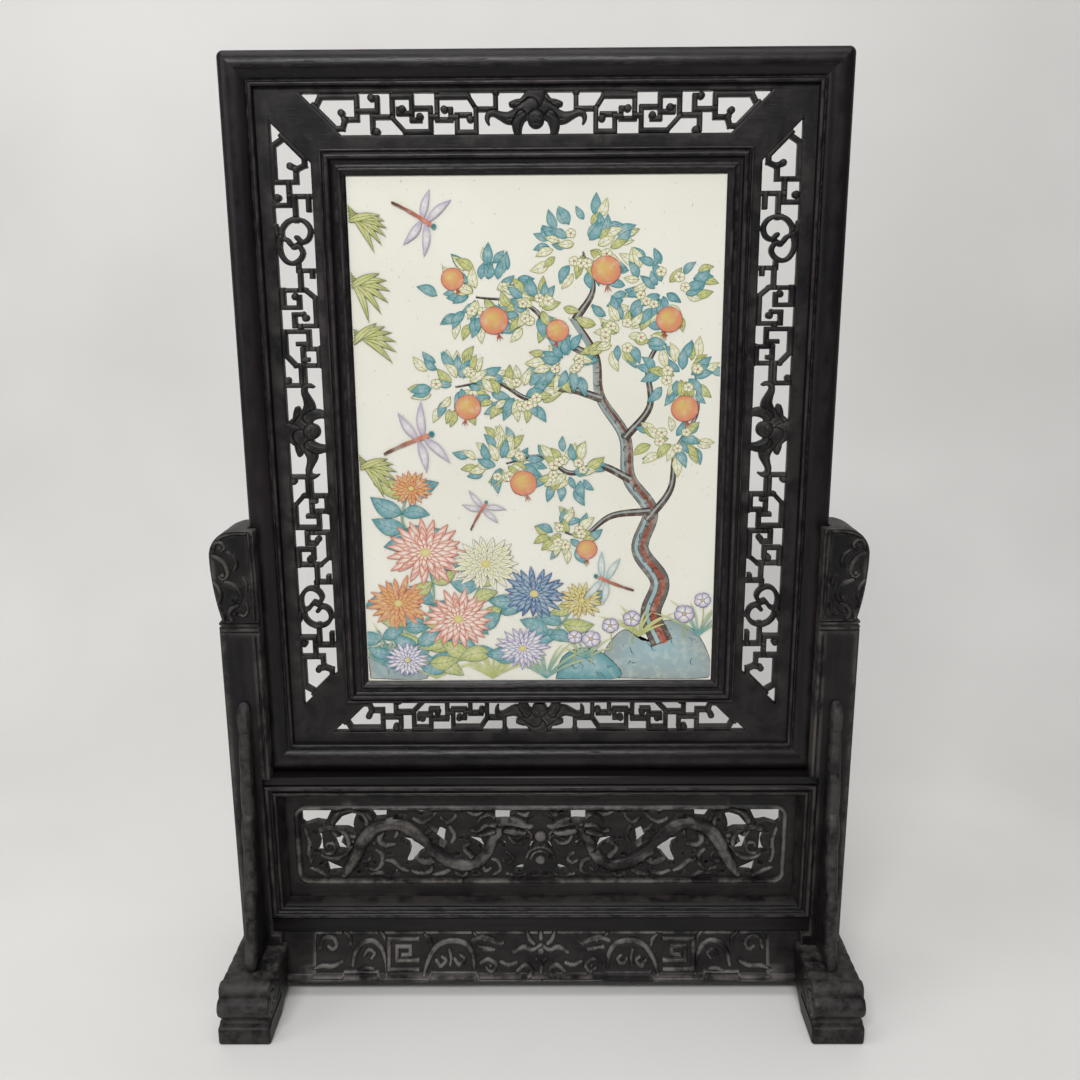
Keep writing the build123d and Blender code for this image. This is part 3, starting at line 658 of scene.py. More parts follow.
def carve(carving, front, back, place, marks=None, wall_rows=1):
    """A closed mesh of the solid part of a carving.

    The outline is found on the grid by straight crossings. Front and back are heights along w on
    the grid, and place turns rows of (u, v, w) into points. Walls join the two outlines.
    """
    solid = carving.out < 0
    value = -carving.out
    spots = []

    def share_out(mask, values):
        number = np.full(mask.shape, -1)
        start = sum(len(s) for s in spots)
        number[mask] = start + np.arange(mask.sum())
        spots.append(np.stack([v[mask] for v in values], 1))
        return number

    layers = [carving.u, carving.v, front, back]
    if marks is not None:
        layers += [marks[..., 0], marks[..., 1]]
    corner = share_out(solid, layers)

    def crossing(one, two):
        a, b = value[one], value[two]
        cross = (a > 0) != (b > 0)
        t = np.clip(a / np.where(a == b, 1, a - b), 0.04, 0.96)
        return share_out(cross, [layer[one] + t * (layer[two] - layer[one]) for layer in layers])

    everything = slice(None)
    level = crossing((slice(0, -1), everything), (slice(1, None), everything))
    steep = crossing((everything, slice(0, -1)), (everything, slice(1, None)))
    node = [corner[:-1, :-1], corner[1:, :-1], corner[1:, 1:], corner[:-1, 1:],
            level[:, :-1], steep[1:, :], level[:, 1:], steep[:-1, :]]
    code = sum(solid_corner.astype(int) << k for k, solid_corner in enumerate(
        (solid[:-1, :-1], solid[1:, :-1], solid[1:, 1:], solid[:-1, 1:])))
    spot = np.concatenate(spots)
    total = len(spot)
    faces = {3: [], 4: [], 5: [], 6: []}
    walls = []
    for case in range(1, 16):
        here = code == case
        ring, borders = CELL_CASES[case]
        if not here.any():
            continue
        ring_nodes = np.stack([node[k][here] for k in ring], 1)
        faces[len(ring)].append(ring_nodes)
        for a, b in borders:
            walls.append(np.stack([node[a][here], node[b][here]], 1))
    flat = []
    for rings in faces.values():
        if rings:
            rings = np.concatenate(rings)
            flat += [rings, rings[:, ::-1] + total]
    wall = np.concatenate(walls)
    edge, order = np.unique(wall, return_inverse=True)
    order = order.reshape(wall.shape)
    low = np.concatenate([spot[:, :2], spot[:, 2:3]], 1)
    high = np.concatenate([spot[:, :2], spot[:, 3:4]], 1)
    points = [low, high]
    steps = [edge]
    for k in range(1, wall_rows):
        t = k / wall_rows
        row = low[edge] * (1 - t) + high[edge] * t
        points.append(row)
        steps.append(2 * total + (k - 1) * len(edge) + np.arange(len(edge)))
    steps.append(edge + total)
    for near_row, far_row in zip(steps, steps[1:]):
        flat.append(np.stack([near_row[order[:, 1]], near_row[order[:, 0]],
                              far_row[order[:, 0]], far_row[order[:, 1]]], 1))
    points = np.concatenate(points)
    given = None
    if marks is not None:
        extra = [spot[edge, 4:6]] * (wall_rows - 1)
        given = np.concatenate([spot[:, 4:6], spot[:, 4:6], *extra])
    return place(points), flat, given


def upright(points):
    """Places on a plane that faces the viewer: u across, v up, w towards the viewer."""
    return np.stack([points[:, 0], -points[:, 2], points[:, 1]], 1)


def lines(*runs):
    """Grid lines from runs of (start, stop, step), without repeats."""
    parts = [np.arange(a, b + step * 0.25, step) for a, b, step in runs]
    joined = np.unique(np.round(np.concatenate(parts), 4))
    return joined[np.concatenate([[True], np.diff(joined) > 0.05])]


# Outer frame

def rail_profile():
    """Broad crown, hollow and bead of the rail, the same on both faces, with the fret's groove."""
    edge = half_t - 5.0
    base = half_t - 4.2
    front = [
        through((0, -edge + 0.9), (0.3, -edge + 0.2), (0.9, -edge - 0.6), 4),
        through((0.9, -edge - 0.6), (10.6, -half_t), (20.5, -base), 21),
        [(20.9, -base + 0.5), (21.6, -base + 0.5)],
        through((22, -base), (24, -base - 2), (rail_w - 0.4, -base + 0.2), 9),
        [(rail_w, -base + 0.9), (rail_w, fret_front), (rail_w - tongue, fret_front)],
    ]
    back = [
        [(rail_w - tongue, fret_back), (rail_w, fret_back), (rail_w, base - 0.9)],
        through((rail_w - 0.4, base - 0.2), (24, base + 2), (22, base), 9),
        [(21.6, base - 0.5), (20.9, base - 0.5)],
        through((20.5, base), (10.6, half_t), (0.9, edge + 0.6), 21),
        through((0.9, edge + 0.6), (0.3, edge - 0.2), (0, edge - 0.9), 4),
    ]
    return outline(*front, *back)


def make_frame():
    """Rails and stiles: one profile carried round the frame, rounded at its corners."""
    profile = rail_profile()
    marks = edge_marks(profile, [(0.5, 1.5, 0.8), (10, 6, 0.25), (24, 1.5, 0.9)], [(21.2, 1.0, 0.7)])
    for side in SIDES:
        name = f"frame_{side}_" + ("rail" if side in ("top", "bottom") else "stile")
        swept("looks_" + name, "screen", side, frame_rect, profile, frame_wood, name, 41, corner_r, marks)


# Moulding round the plaque

def moulding_profile():
    """Outer bead, double bead, hollow and inner bead, with the groove and the rebate."""
    face = plaque_front - 2.5
    back = node_box("inner_top_moulding")[1][1]
    lip = moulding_w - rebate - slack
    return outline(
        through((0, face), (1, face - 1.2), (2, face), 9),
        [(2.5, face + 0.25), (3.5, face + 0.25)],
        through((4, face), (5.6, -10.0), (7.6, -8.8), 11),
        through((7.6, -8.8), (10.4, face + 0.6), (13.2, face + 0.1), 11),
        through((13.5, face), (15, face - 1.4), (16.5, face), 9),
        [(17, face + 0.3), (moulding_w - 0.4, plaque_front - 1.3), (moulding_w, plaque_front - 0.9)],
        [(moulding_w, plaque_front), (lip, plaque_front), (lip, back - 0.6), (lip - 0.6, back), (0.6, back)],
        [(0, back - 0.6), (0, fret_back), (tongue, fret_back), (tongue, fret_front), (0, fret_front)],
    )


def make_moulding():
    """Four mitred mouldings: one profile carried round the plaque."""
    profile = moulding_profile()
    worn = [(1, 1.2, 0.8), (5.6, 1.8, 0.9), (15, 1.6, 0.9)]
    dust = [(3, 0.8, 0.8), (12, 2, 0.5), (17.5, 1.2, 0.6)]
    marks = edge_marks(profile, worn, dust)
    for side in SIDES:
        name = f"inner_{side}_moulding"
        swept("looks_" + name, "screen", side, moulding_rect, profile, frame_wood, name, 31, 0.0, marks)


# Fret boards

# Strokes as (distance from the opening's middle, depth from its outer edge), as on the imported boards
BAR = 1.85
CURL = 2.7
bar_top = 0.9
SHORT_BARS = [
    [(167.5, 10.5), (163, 2.5), (135.6, 2.5), (135.6, 18.7), (145, 18.7)],
    [(168.5, 8.5), (152, 25), (147, 25), (145.2, 19.5), (147.5, 14)],
    [(135.6, 12.8), (120, 12.8), (120, 3.5), (124.5, 3.5)],
    [(108.7, 0), (108.7, 17), (124, 17), (124, 27.5), (121, 27.5)],
    [(108.7, 18), (99.5, 27.8), (79.8, 27.8), (79.8, 11), (94, 11), (94, 19.5), (88, 19.5), (88, 17)],
    [(108.7, 2.6), (94, 2.6), (94, 14.6), (104, 14.6), (104, 11.5), (101.2, 11.5)],
    [(74.8, 0), (74.8, 19.3), (64.5, 19.3), (64.5, 12), (69.5, 12)],
    [(79.8, 17), (74.8, 17)],
    [(74.8, 3), (51, 3), (45.2, 11.9), (30.4, 11.9), (30.4, 0)],
    [(45.4, 11.9), (45.4, 28.3), (59.8, 28.3), (59.8, 16), (50, 16), (50, 19)],
    [(64.5, 17.5), (59.8, 17.5)],
]
LONG_BARS = [
    [(223.5, 8.5), (219, 1.5), (192.5, 1.5), (192.5, 18), (202, 18)],
    [(226, 8.5), (209.5, 25), (204.5, 25), (202, 19), (204, 14)],
    [(192, 12), (175.5, 12), (175.5, 1.2), (181, 1.2), (181, 3)],
    [(182, 12), (182, 30)],
    [(182, 16), (164, 16)],
    [(182, 26.5), (172, 26.5)],
    [(111.5, 0), (111.5, 20.5), (105.5, 27.7), (84, 27.7), (84, 10.5), (93, 10.5), (93, 17.5), (90, 19.5)],
    [(131, 16), (126.5, 16), (126.5, 30)],
    [(126.5, 17), (111.5, 17)],
    [(126.5, 26.5), (122, 26.5)],
    [(112, 2.5), (98.3, 2.5), (98.3, 15), (106.5, 15), (106.5, 12)],
    [(84, 15), (79.7, 15)],
    [(79.7, 0), (79.7, 21), (66, 21), (66, 30)],
    [(79.7, 2), (61, 2), (53, 9.5), (53, 31)],
    [(66, 15.7), (53, 15.7), (38.8, 15.7)],
    [(66, 20), (70, 20), (70, 12.5)],
    [(66, 28.3), (53, 28.3)],
    [(57.5, 15.7), (57.5, 19)],
    [(53, 13.5), (37.2, 13.5), (37.2, 2.2), (41, 2.2)],
    [(165, 16), (165, 14)],
    [(132.5, 16), (130, 16)],
    [(151, 2.5), (160, 0)],
    [(156, 27), (156, 30)],
]
LONG_SCROLLS = [
    [(148, 20), (145, 13), (149.5, 8.5), (151.5, 4.8), (157.5, 4.8), (163, 9.3), (165, 16), (163, 23),
     (157, 26.8),
     (150.5, 25), (148, 20), (151.5, 16)],
    [(152, 3.6), (145.5, 2.2), (139, 3), (133.8, 6.5), (132, 11.5), (134.6, 17.2), (140, 20), (145, 17),
     (144, 13)],
]
# The bat's wings, ears and claws as (distance, depth, half width)
BAT_LINES = [
    [(0, 1, 7), (3, 6, 7.5), (9, 9, 5), (14.5, 8.6, 3.4), (18.6, 8.6, 2)],
    [(4, 10, 6), (12, 16, 6), (20, 18.4, 4.6), (26, 17, 3.2), (31.5, 14.9, 2.4), (35.6, 15.5, 2.1),
     (37, 19, 1.8),
     (35.9, 22.4, 1)],
    [(11, 17, 4), (14, 23, 4.2), (14, 28, 3.2), (13.4, 31, 3)],
]
BAT_RIBS = [
    [(9.5, 12, 0.8), (17, 13.6, 0.8), (24, 15.4, 0.6), (31, 14, 0.5)],
    [(8.4, 14.5, 0.8), (15, 18.5, 0.7), (22, 19.6, 0.5)],
    [(9, 19, 0.8), (11.4, 24, 0.7), (11.6, 28.5, 0.5)],
    [(5, 4, 0.7), (9.5, 7, 0.7), (15, 7.4, 0.5)],
]
BAT_HEAD = (0, 19.6, 6.4)
short_half = 178.0
long_half = 236.0
fret_h = 30.0
top_rim = 4.0
side_rim = 10.0
bottom_rim = 9.5
long_mid_z = 504.0


def fret_frame(side):
    """A function from (distance, depth) rows of one side's drawing to (x, z) rows."""
    half, low, high = (half_frame - rail_w, seat_z + rail_w, frame_top - rail_w)

    def turn(rows):
        rows = np.array(rows, float)
        s, t = rows[:, 0].copy(), rows[:, 1].copy()
        if side == "top":
            rows[:, 0], rows[:, 1] = s, high - top_rim - t
        elif side == "bottom":
            rows[:, 0], rows[:, 1] = s, low + bottom_rim + t
        elif side == "left":
            rows[:, 0], rows[:, 1] = -half + side_rim + t, long_mid_z + s
        else:
            rows[:, 0], rows[:, 1] = half - side_rim - t, long_mid_z + s
        return rows
    return turn


def with_width(points, half):
    """Rows of (u, v) with a half width added to each."""
    points = np.asarray(points, float)
    return np.concatenate([points, np.full((len(points), 1), half)], 1)


def ring_gap(carving, side, outer, inner):
    """Distance outside one mitred side of the ring between two rectangles."""
    u, v = carving.u, carving.v
    corners_out = [(-outer[0], outer[2]), (outer[0], outer[2]), (outer[0], outer[1]), (-outer[0], outer[1])]
    corners_in = [(-inner[0], inner[2]), (inner[0], inner[2]), (inner[0], inner[1]), (-inner[0], inner[1])]
    k = SIDES.index(side)
    ring = [corners_out[k], corners_out[(k + 1) % 4], corners_in[(k + 1) % 4], corners_in[k]]
    gap = np.full(u.shape, -FAR)
    for (u0, v0), (u1, v1) in zip(ring, ring[1:] + ring[:1]):
        length = math.hypot(u1 - u0, v1 - v0)
        away = ((u1 - u0) * (v - v0) - (v1 - v0) * (u - u0)) / length
        gap = np.maximum(gap, away)
    return gap


def shrink(rect, by):
    """The rectangle (half width, bottom, top) with each side moved inwards."""
    return rect[0] - by, rect[1] + by, rect[2] - by


def fret_board(side):
    """A board pierced by a band of key fret and scrolls about a bat, rounded on both faces."""
    short = side in ("top", "bottom")
    half_length = short_half if short else long_half
    turn = fret_frame(side)
    outer = shrink(frame_rect, rail_w - tongue)
    inner = shrink(moulding_rect, tongue)
    corner_points = turn([(-half_length, 0), (half_length, 0), (half_length, fret_h)])
    low, high = corner_points.min(0), corner_points.max(0)
    fine = 0.46 if short else 0.52
    reach_low, reach_high = node_box("fret_" + side)
    sizes = []
    for axis, k in ((0, 0), (1, 2)):
        coarse = 3.0 if (axis == 0) != short else 6.0
        sizes.append(lines(
            (reach_low[k] - 1, low[axis] - 1.2, coarse), (low[axis] - 1.2, high[axis] + 1.2, fine),
            (high[axis] + 1.2, reach_high[k] + 1 + coarse, coarse),
        ))
    carving = Carving(*sizes)
    taper = half_length - fret_h
    frame_points = turn([(-half_length, 0), (half_length, 0), (taper, fret_h), (-taper, fret_h)])
    centre = frame_points.mean(0)
    edge_gap = np.full(carving.u.shape, -FAR)
    for (u0, v0), (u1, v1) in zip(frame_points, np.roll(frame_points, -1, 0)):
        away = ((u1 - u0) * (carving.v - v0) - (v1 - v0) * (carving.u - u0)) / math.hypot(u1 - u0, v1 - v0)
        inner_side = (u1 - u0) * (centre[1] - v0) - (v1 - v0) * (centre[0] - u0)
        edge_gap = np.maximum(edge_gap, -away * np.sign(inner_side))
    board = np.maximum(ring_gap(carving, side, outer, inner), -edge_gap)
    carving.out = np.minimum(carving.out, board)
    lip = np.clip(edge_gap / 1.2, 0, 1)
    carving.high = bar_top * rounded(lip)
    for sign in (1, -1):
        for bars in (SHORT_BARS if short else LONG_BARS):
            run = with_width(bars, BAR) * [sign, 1, 1]
            fret_line(carving, turn(run), edge_gap, True)
            if len(bars) > 3:
                curl = with_width([bars[-1], bars[-1]], CURL) * [sign, 1, 1] + [[0, 0, 0], [0.2, 0, 0]]
                fret_line(carving, turn(curl), edge_gap, False)
        for points in ([] if short else LONG_SCROLLS):
            run = smooth_line(with_width(points, BAR)) * [sign, 1, 1]
            fret_line(carving, turn(run), edge_gap, False)
    for sign in (1, -1):
        for points in BAT_LINES:
            run = smooth_line(points) * [sign, 1, 1]
            fret_line(carving, turn(run), edge_gap, False, 1.3)
    for sign in (1, -1):
        for points in BAT_RIBS:
            carving.cut_line(turn(smooth_line(points) * [sign, 1, 1]), 0.5)
    head = turn([BAT_HEAD])[0]
    carving.dome(head[:2], head[2], 1.5, 0.3, 0.2)
    for sign in (1, -1):
        eye = turn([(sign * 2.3, 17.6)])[0]
        carving.dome(eye, 1.0, 0.5, 1.5, 0.1, 0.3)
        carving.cut_line(turn([(sign * 0.6, 22.4, 0.5), (sign * 2.6, 22.9, 0.5)]), 0.5)
    front = -(fret_front + bar_top) + carving.high
    back = -(fret_back - bar_top) - carving.high
    marks = carving.marks(4, 0.5, 0.15)
    points, faces, given = carve(carving, front, back, upright, marks)
    piece(f"looks_fret_{side}", "screen", points, faces, carved_wood, "x" if short else "z", given,
          stands_for=f"fret_{side}", crease=50.0)


def fret_line(carving, run, edge_gap, square, rise=None):
    """A bar of the fret that stays out of the board round the opening."""
    before = carving.high.copy()
    carving.raise_line(run, bar_top if rise is None else rise, 0.0, 0.25, 0.35, True, square)
    carving.high = np.where(edge_gap > 0.3, before, carving.high)



# Shapes shared by the carved boards

def inside(points, u, v):
    """Which grid places lie inside a closed outline, by counting its crossings."""
    flag = np.zeros(u.shape, bool)
    for (au, av), (bu, bv) in zip(points, np.roll(points, -1, 0)):
        if av == bv:
            continue
        beside = u < (bu - au) * (v - av) / (bv - av) + au
        flag ^= ((av > v) != (bv > v)) & beside
    return flag


def shape(carving, points, hole=False, reach=12.0):
    """Adds a closed outline to the solid, or takes it away."""
    points = np.asarray(points, float)
    ring = with_width(np.concatenate([points, points[:1]]), 0.0)
    area, gap = carving.near(ring, reach)[:2]
    signed = np.where(inside(points, carving.u[area], carving.v[area]), -gap, gap)
    if hole:
        carving.out[area] = np.maximum(carving.out[area], -signed)
    else:
        carving.out[area] = np.minimum(carving.out[area], signed)


def flipped(points, faces, axis):
    """The mesh mirrored about the plane through the origin across an axis."""
    points = np.array(points)
    points[:, axis] *= -1
    return points, [rows[:, ::-1] for rows in faces]


def joined(*parts):
    """One mesh from several, each given as (points, faces, marks)."""
    start = 0
    points, faces, marks = [], [], []
    for some, rows, given in parts:
        points.append(some)
        faces += [row + start for row in rows]
        marks.append(np.zeros((len(some), 2)) if given is None else given)
        start += len(some)
    return np.concatenate(points), faces, np.concatenate(marks)


def eased_box(low, high, ease=1.0):
    """A box with small chamfers along all its edges."""
    low, high = np.asarray(low, float), np.asarray(high, float)
    corners = np.array([[x, y, z] for x in (0, 1) for y in (0, 1) for z in (0, 1)], float)
    sign = corners * 2 - 1
    at = low + corners * (high - low)
    points = np.concatenate([at - sign * ease * (1 - np.eye(3)[k]) for k in range(3)])
    mesh = bpy.data.meshes.new("eased_box")
    shell = bmesh.new()
    for point in points:
        shell.verts.new(point)
    bmesh.ops.convex_hull(shell, input=list(shell.verts))
    bmesh.ops.recalc_face_normals(shell, faces=list(shell.faces))
    shell.to_mesh(mesh)
    shell.free()
    spots = np.zeros(len(mesh.vertices) * 3)
    mesh.vertices.foreach_get("co", spots)
    rows = {}
    for face in mesh.polygons:
        rows.setdefault(len(face.vertices), []).append(list(face.vertices))
    bpy.data.meshes.remove(mesh)
    return spots.reshape(-1, 3), [np.array(r) for r in rows.values()], None


def both_sides(name, body, mesh, material, run, stands_for, crease=45.0):
    """The right-hand piece and its mirror image on the left."""
    points, faces, marks = mesh
    piece("looks_right_" + name, body, points, faces, material, run, marks, stands_for="right_" + stands_for,
          crease=crease)
    points, faces = flipped(points, faces, 0)
    piece("looks_left_" + name, body, points, faces, material, run, marks, stands_for="left_" + stands_for,
          crease=crease)


# Posts
groove_x = half_frame + slack
groove_y = half_t + slack
post_in = post_low[0]
post_out = 265.5
post_half = 24.0
head_half = 26.0
head_low = 349.0
post_top = post_high[2]
wide = post_high[0]
HEAD_LINES = [
    [(234.5, 424.2, 0.8), (246, 424.2, 0.8), (254, 422.6, 0.8), (260.5, 419, 0.8), (265, 412.5, 0.8)],
    [(234.5, 424, 0.8), (234.3, 400, 0.8), (234.2, 376, 0.8), (234.5, 352, 0.8)],
    [(263.5, 411, 0.9), (262.5, 416, 1.2), (257.5, 417.2, 1.3), (254.5, 413, 1.2), (257.5, 410, 0.9)],
    [(264.5, 406, 1.6), (259.5, 403.5, 1.9), (255, 398.5, 1.8), (253.6, 391, 1.6), (257, 386, 1.4),
     (260.4, 388.4, 1.2)],
    [(252, 409, 1.1), (247.5, 405, 1.3), (246, 399, 1.3), (248, 394.5, 1.1)],
    [(255.5, 384, 1.8), (250, 381.5, 2), (245.5, 377, 2), (244, 370.5, 1.8), (247.5, 366, 1.5),
     (251, 368.5, 1.2)],
    [(265.5, 383.5, 1.3), (262, 379, 1.5), (260.5, 372, 1.5), (263, 366.5, 1.2)],
    [(247.5, 364, 1.6), (252.5, 361.5, 1.8), (255, 356.5, 1.7), (253, 351.5, 1.4)],
    [(241, 388, 1.0), (239, 383, 1.2), (239.4, 377, 1.0)],
    [(240, 366, 1.0), (239, 360, 1.1), (242.5, 355, 1.0), (246, 356.5, 0.9)],
    [(263, 361, 1.1), (260, 356, 1.2), (259.5, 351, 1.0)],
]
HEAD_DOMES = [(258.4, 412.6, 1.5), (257.8, 389.6, 1.7), (248.6, 369, 1.8), (250.2, 357, 1.3),
              (241.2, 380, 1.2)]


def post_outline():
    """Front view of the right post: round head, ridged collar, shaft and seat."""
    top = [(post_in, post_top), (post_out - 16, post_top)]
    shoulder = through((post_out - 16, post_top), (wide - 5.5, post_top - 7.5), (wide, post_top - 22), 12)
    flank = through((wide, post_top - 22), (wide - 1.5, post_top - 48), (post_out - 3, head_low), 10)
    collar = [(post_out - 1.2, head_low), (post_out - 1.2, 347.8), (post_out, 347.6), (post_out, 345.6),
              (post_out - 1.2, 345.2), (post_out - 1.2, 344), (post_out, 343.6), (post_out, 341.2)]
    foot = [(post_out, post_low[2] + 27), (post_in, post_low[2] + 27), (post_in, post_floor),
            (half_frame, post_floor), (half_frame, seat_z), (post_in, seat_z)]
    return np.concatenate([top, shoulder, flank, collar, foot])


def make_posts():
    """Two carved cheeks with the groove between them, on a core that closes its floor."""
    grid = lines((post_in - 1, wide + 1.2, 0.6))
    tall = lines((47.5, 60, 0.8), (60, 203, 3), (203, 209, 0.6), (209, 338, 3), (338, 427, 0.5))
    carving = Carving(grid, tall)
    shape(carving, post_outline())
    head = np.clip((carving.v - 348.6) / 1.6, 0, 1)
    neck = (carving.v > 340) & (carving.v <= 348.6)
    bottom = post_half - 1.2
    ring = np.abs(carving.v - 342.4) < 1.2
    ring |= np.abs(carving.v - 346.6) < 1.1
    full = post_half + (head_half - 0.9 - post_half) * head
    carving.high = np.where(neck & ~ring, bottom, full)
    edge = carving.u - post_in
    bead = np.sqrt(np.clip(1 - ((edge - 1.6) / 1.6) ** 2, 0, 1))
    carving.high = np.where(
        (carving.v < 338) & (carving.v > seat_z) & (edge < 4.2), post_half - 1.4 + 1.4 * bead, carving.high
    )
    level = head_half - 1.9
    field = (carving.v > 349.5) & (carving.v < 423)
    carving.high = np.where(field, np.minimum(carving.high, level), carving.high)
    for rows in HEAD_LINES:
        carving.raise_line(smooth_line(rows), 1.3, level + 0.35, 0.75, 0.7, solid=False)
    for u0, v0, r in HEAD_DOMES:
        carving.dome((u0, v0), r, 0.9, level + 0.7, 0.9, 0.5, solid=False)
    carving.high = np.minimum(carving.high, head_half)
    deep = np.clip(-carving.out, 0, 6)
    outer = np.clip((carving.u - post_mid) / 6, 0, 1)
    reach = 1.0 + 4.6 * outer
    near_edge = np.clip(deep / reach, 0, 1)
    carving.high -= reach * (1 - rounded(near_edge))
    carving.extra[..., 0] += 0.75 * fading(deep, 1.2)
    marks = carving.marks(5, 0.55, 0.06)
    back = np.full(carving.u.shape, groove_y)
    points, faces, given = carve(carving, carving.high, back, upright, marks)
    rear, rear_faces = flipped(points, faces, 1)
    core = Carving(lines((post_in - 1, wide + 1.2, 1.2)), tall)
    shape(core, post_outline())
    core.out = np.where(core.v > seat_z, np.maximum(core.out, groove_x - core.u), core.out)
    core_front = np.full(core.u.shape, groove_y)
    core_marks = core.marks(5, 0.55, 0.06)
    solid_points, solid_faces, solid_marks = carve(core, core_front, -core_front, upright, core_marks)
    mesh = joined((points, faces, given), (rear, rear_faces, given), (solid_points, solid_faces, solid_marks))
    both_sides("post", "stand", mesh, carved_wood, "z", "post", 38.0)


# Feet and brackets
foot_in, foot_out = foot_low[0], foot_high[0]
foot_top = 48.0
foot_d = 92.0
post_mid = (foot_in + foot_out) / 2


def foot_outline():
    """Side view of a foot: arch between two pads, plinth, neck, rolled toe and a wavy top."""
    pad_in = foot_d - 40
    arch = through((0, 13), (pad_in * 0.62, 13 * 0.78), (pad_in, 0), 14)
    base = [(foot_d - 1.6, 0), (foot_d - 0.4, 0.5), (foot_d, 1.8), (foot_d, 13), (foot_d - 0.8, 15.2),
            (foot_d - 2.6, 16)]
    neck = [(foot_d - 6, 16.6), (foot_d - 7, 18), (foot_d - 7, 21)]
    front = through((foot_d - 6.6, 22), (foot_d, 30), (foot_d - 5, 39.4), 14)
    dip = [(foot_d - 6.6, 40.3), (foot_d - 8, 39.8)]
    roll = through((foot_d - 8.2, 40.6), (foot_d - 9.8, 47), (foot_d - 18.4, 49.4), 10)
    y = np.linspace(foot_d - 20, 27, 26)
    wave = foot_top - 0.4 + 0.55 * np.sin((y - 20) / 2.1) * np.clip((foot_d - 22 - y) / 8, 0, 1)
    half = np.concatenate([arch, base, neck, front, dip, roll, np.stack([y, wave], 1),
                           [(24, foot_top), (0, foot_top)]])
    rest = half[::-1] * [-1, 1]
    return np.concatenate([half, rest[1:-1]])


FOOT_LINES = [
    [(83, 38, 0.8), (86.5, 31, 0.8), (84, 25, 0.8), (79, 24, 0.8), (76.5, 28, 0.8), (79, 31.5, 0.8)],
    [(80, 43, 0.9), (73, 41, 1.0), (69, 36, 1.0), (71, 31, 0.8), (74.5, 32.5, 0.8)],
    [(66, 44, 0.8), (60, 41, 1.0), (55, 36, 1.0), (50, 38, 0.8), (51, 42, 0.7)],
    [(70, 24, 0.8), (60, 26, 1.0), (50, 29, 0.9), (42, 27, 0.8)],
]


def board_across(points):
    """Places on a plane that faces along X: u along Y, v up, w along X."""
    return np.stack([points[:, 2], points[:, 0], points[:, 1]], 1)


def make_feet():
    """Side view of the foot as a board along X, its faces rounded off at the edge."""
    carving = Carving(lines((-93, 93, 0.9)), lines((-1, 51, 0.75)))
    shape(carving, foot_outline(), reach=8.0)
    for rows in FOOT_LINES:
        for sign in (1, -1):
            carving.cut_line(smooth_line(rows) * [sign, 1, 1], 0.8)
    for sign in (1, -1):
        ledge = np.abs(carving.v - 19) < 2.6
        carving.high = np.where(ledge & (carving.u * sign > 50), carving.high - 0.9, carving.high)
    carving.soften(2.6)
    deep = np.clip(-carving.out, 0, 3)
    carving.extra[..., 0] += 0.45 * fading(deep, 1.4) * (carving.v > 14)
    carving.extra[..., 1] += 0.3 * fading(carving.v, 6)
    marks = carving.marks(4, 0.6, 0.1)
    points, faces, given = carve(
        carving, foot_out + carving.high, foot_in - carving.high, board_across, marks, wall_rows=14
    )
    ripple = np.sin(points[:, 0] * 0.55 + np.sin(points[:, 1] * 0.35) * 1.6) * np.sin(points[:, 1] * 0.48)
    top = np.clip((points[:, 2] - 44.5) / 3, 0, 1) * np.clip((74 - np.abs(points[:, 1])) / 6, 0, 1)
    points[:, 2] -= 0.75 * top * (0.5 - 0.5 * ripple)
    given[:, 0] += 0.5 * top * np.clip(ripple, 0, 1)
    both_sides("foot", "stand", (points, faces, np.clip(given, 0, 1)), carved_wood, "y", "foot", 40.0)


BRACKET_STEPS = [
    ((5.5, -4), (9.5, -14)), ((9, -22), (6, -27)), ((10, -42), (11.5, -62)), ((15, -82), (14, -98)),
    ((20.5, -112), (18.5, -128)), ((22, -148), (24, -165)), ((31.5, -176), (28.5, -190)), ((33, -204),
                                                                                           (35, -216)),
    ((38, -224), (38, -232)),
]


def bracket_outline():
    """Front edge of a bracket: lobes one above the other, from its tip down to the foot."""
    here = (1.0, 0.0)
    rows = [np.array([(-4, -12), (0, -6)])]
    for middle, end in BRACKET_STEPS:
        rows.append(through(here, middle, end, 9))
        here = end
    rows.append(np.array([(-4, -232)]))
    line = np.concatenate(rows) + [post_half, 280.0]
    keep = np.concatenate([[True], np.linalg.norm(np.diff(line, axis=0), axis=1) > 1e-6])
    return line[keep]


def make_brackets():
    """Lobed boards with rounded edges, an incised line inside the edge and small curls."""
    carving = Carving(lines((-63, -19, 0.62)), lines((47, 281, 0.85)))
    outline_points = bracket_outline() * [-1, 1]
    shape(carving, outline_points, reach=9.0)
    line = np.abs(-carving.out - 3.4)
    carving.high -= 0.7 * fading(line, 0.6) * (carving.u < -25)
    for z, y, turn in ((262, -28.5, 1), (212, -31, -1), (176, -33.5, 1), (146, -36, -1), (112, -42, 1),
                       (82, -46, -1), (62, -50, 1)):
        carving.cut_line(spiral((y, z), 4.0, 0.8, 90 * turn, 420 * turn, 0.55), 0.6)
    carving.soften(4.2)
    deep = np.clip(-carving.out, 0, 5)
    carving.extra[..., 0] += 0.5 * fading(deep, 2.4) * (carving.u < -25)
    marks = carving.marks(5, 0.6, 0.08)
    half = 5.25
    left, right = post_mid - half - carving.high, post_mid + half + carving.high
    points, faces, given = carve(carving, right, left, board_across, marks, wall_rows=3)
    both_sides("front_bracket", "stand", (points, faces, given), carved_wood, "z", "front_bracket", 40.0)
    rear, rear_faces = flipped(points, faces, 1)
    both_sides("back_bracket", "stand", (rear, rear_faces, given), carved_wood, "z", "back_bracket", 40.0)


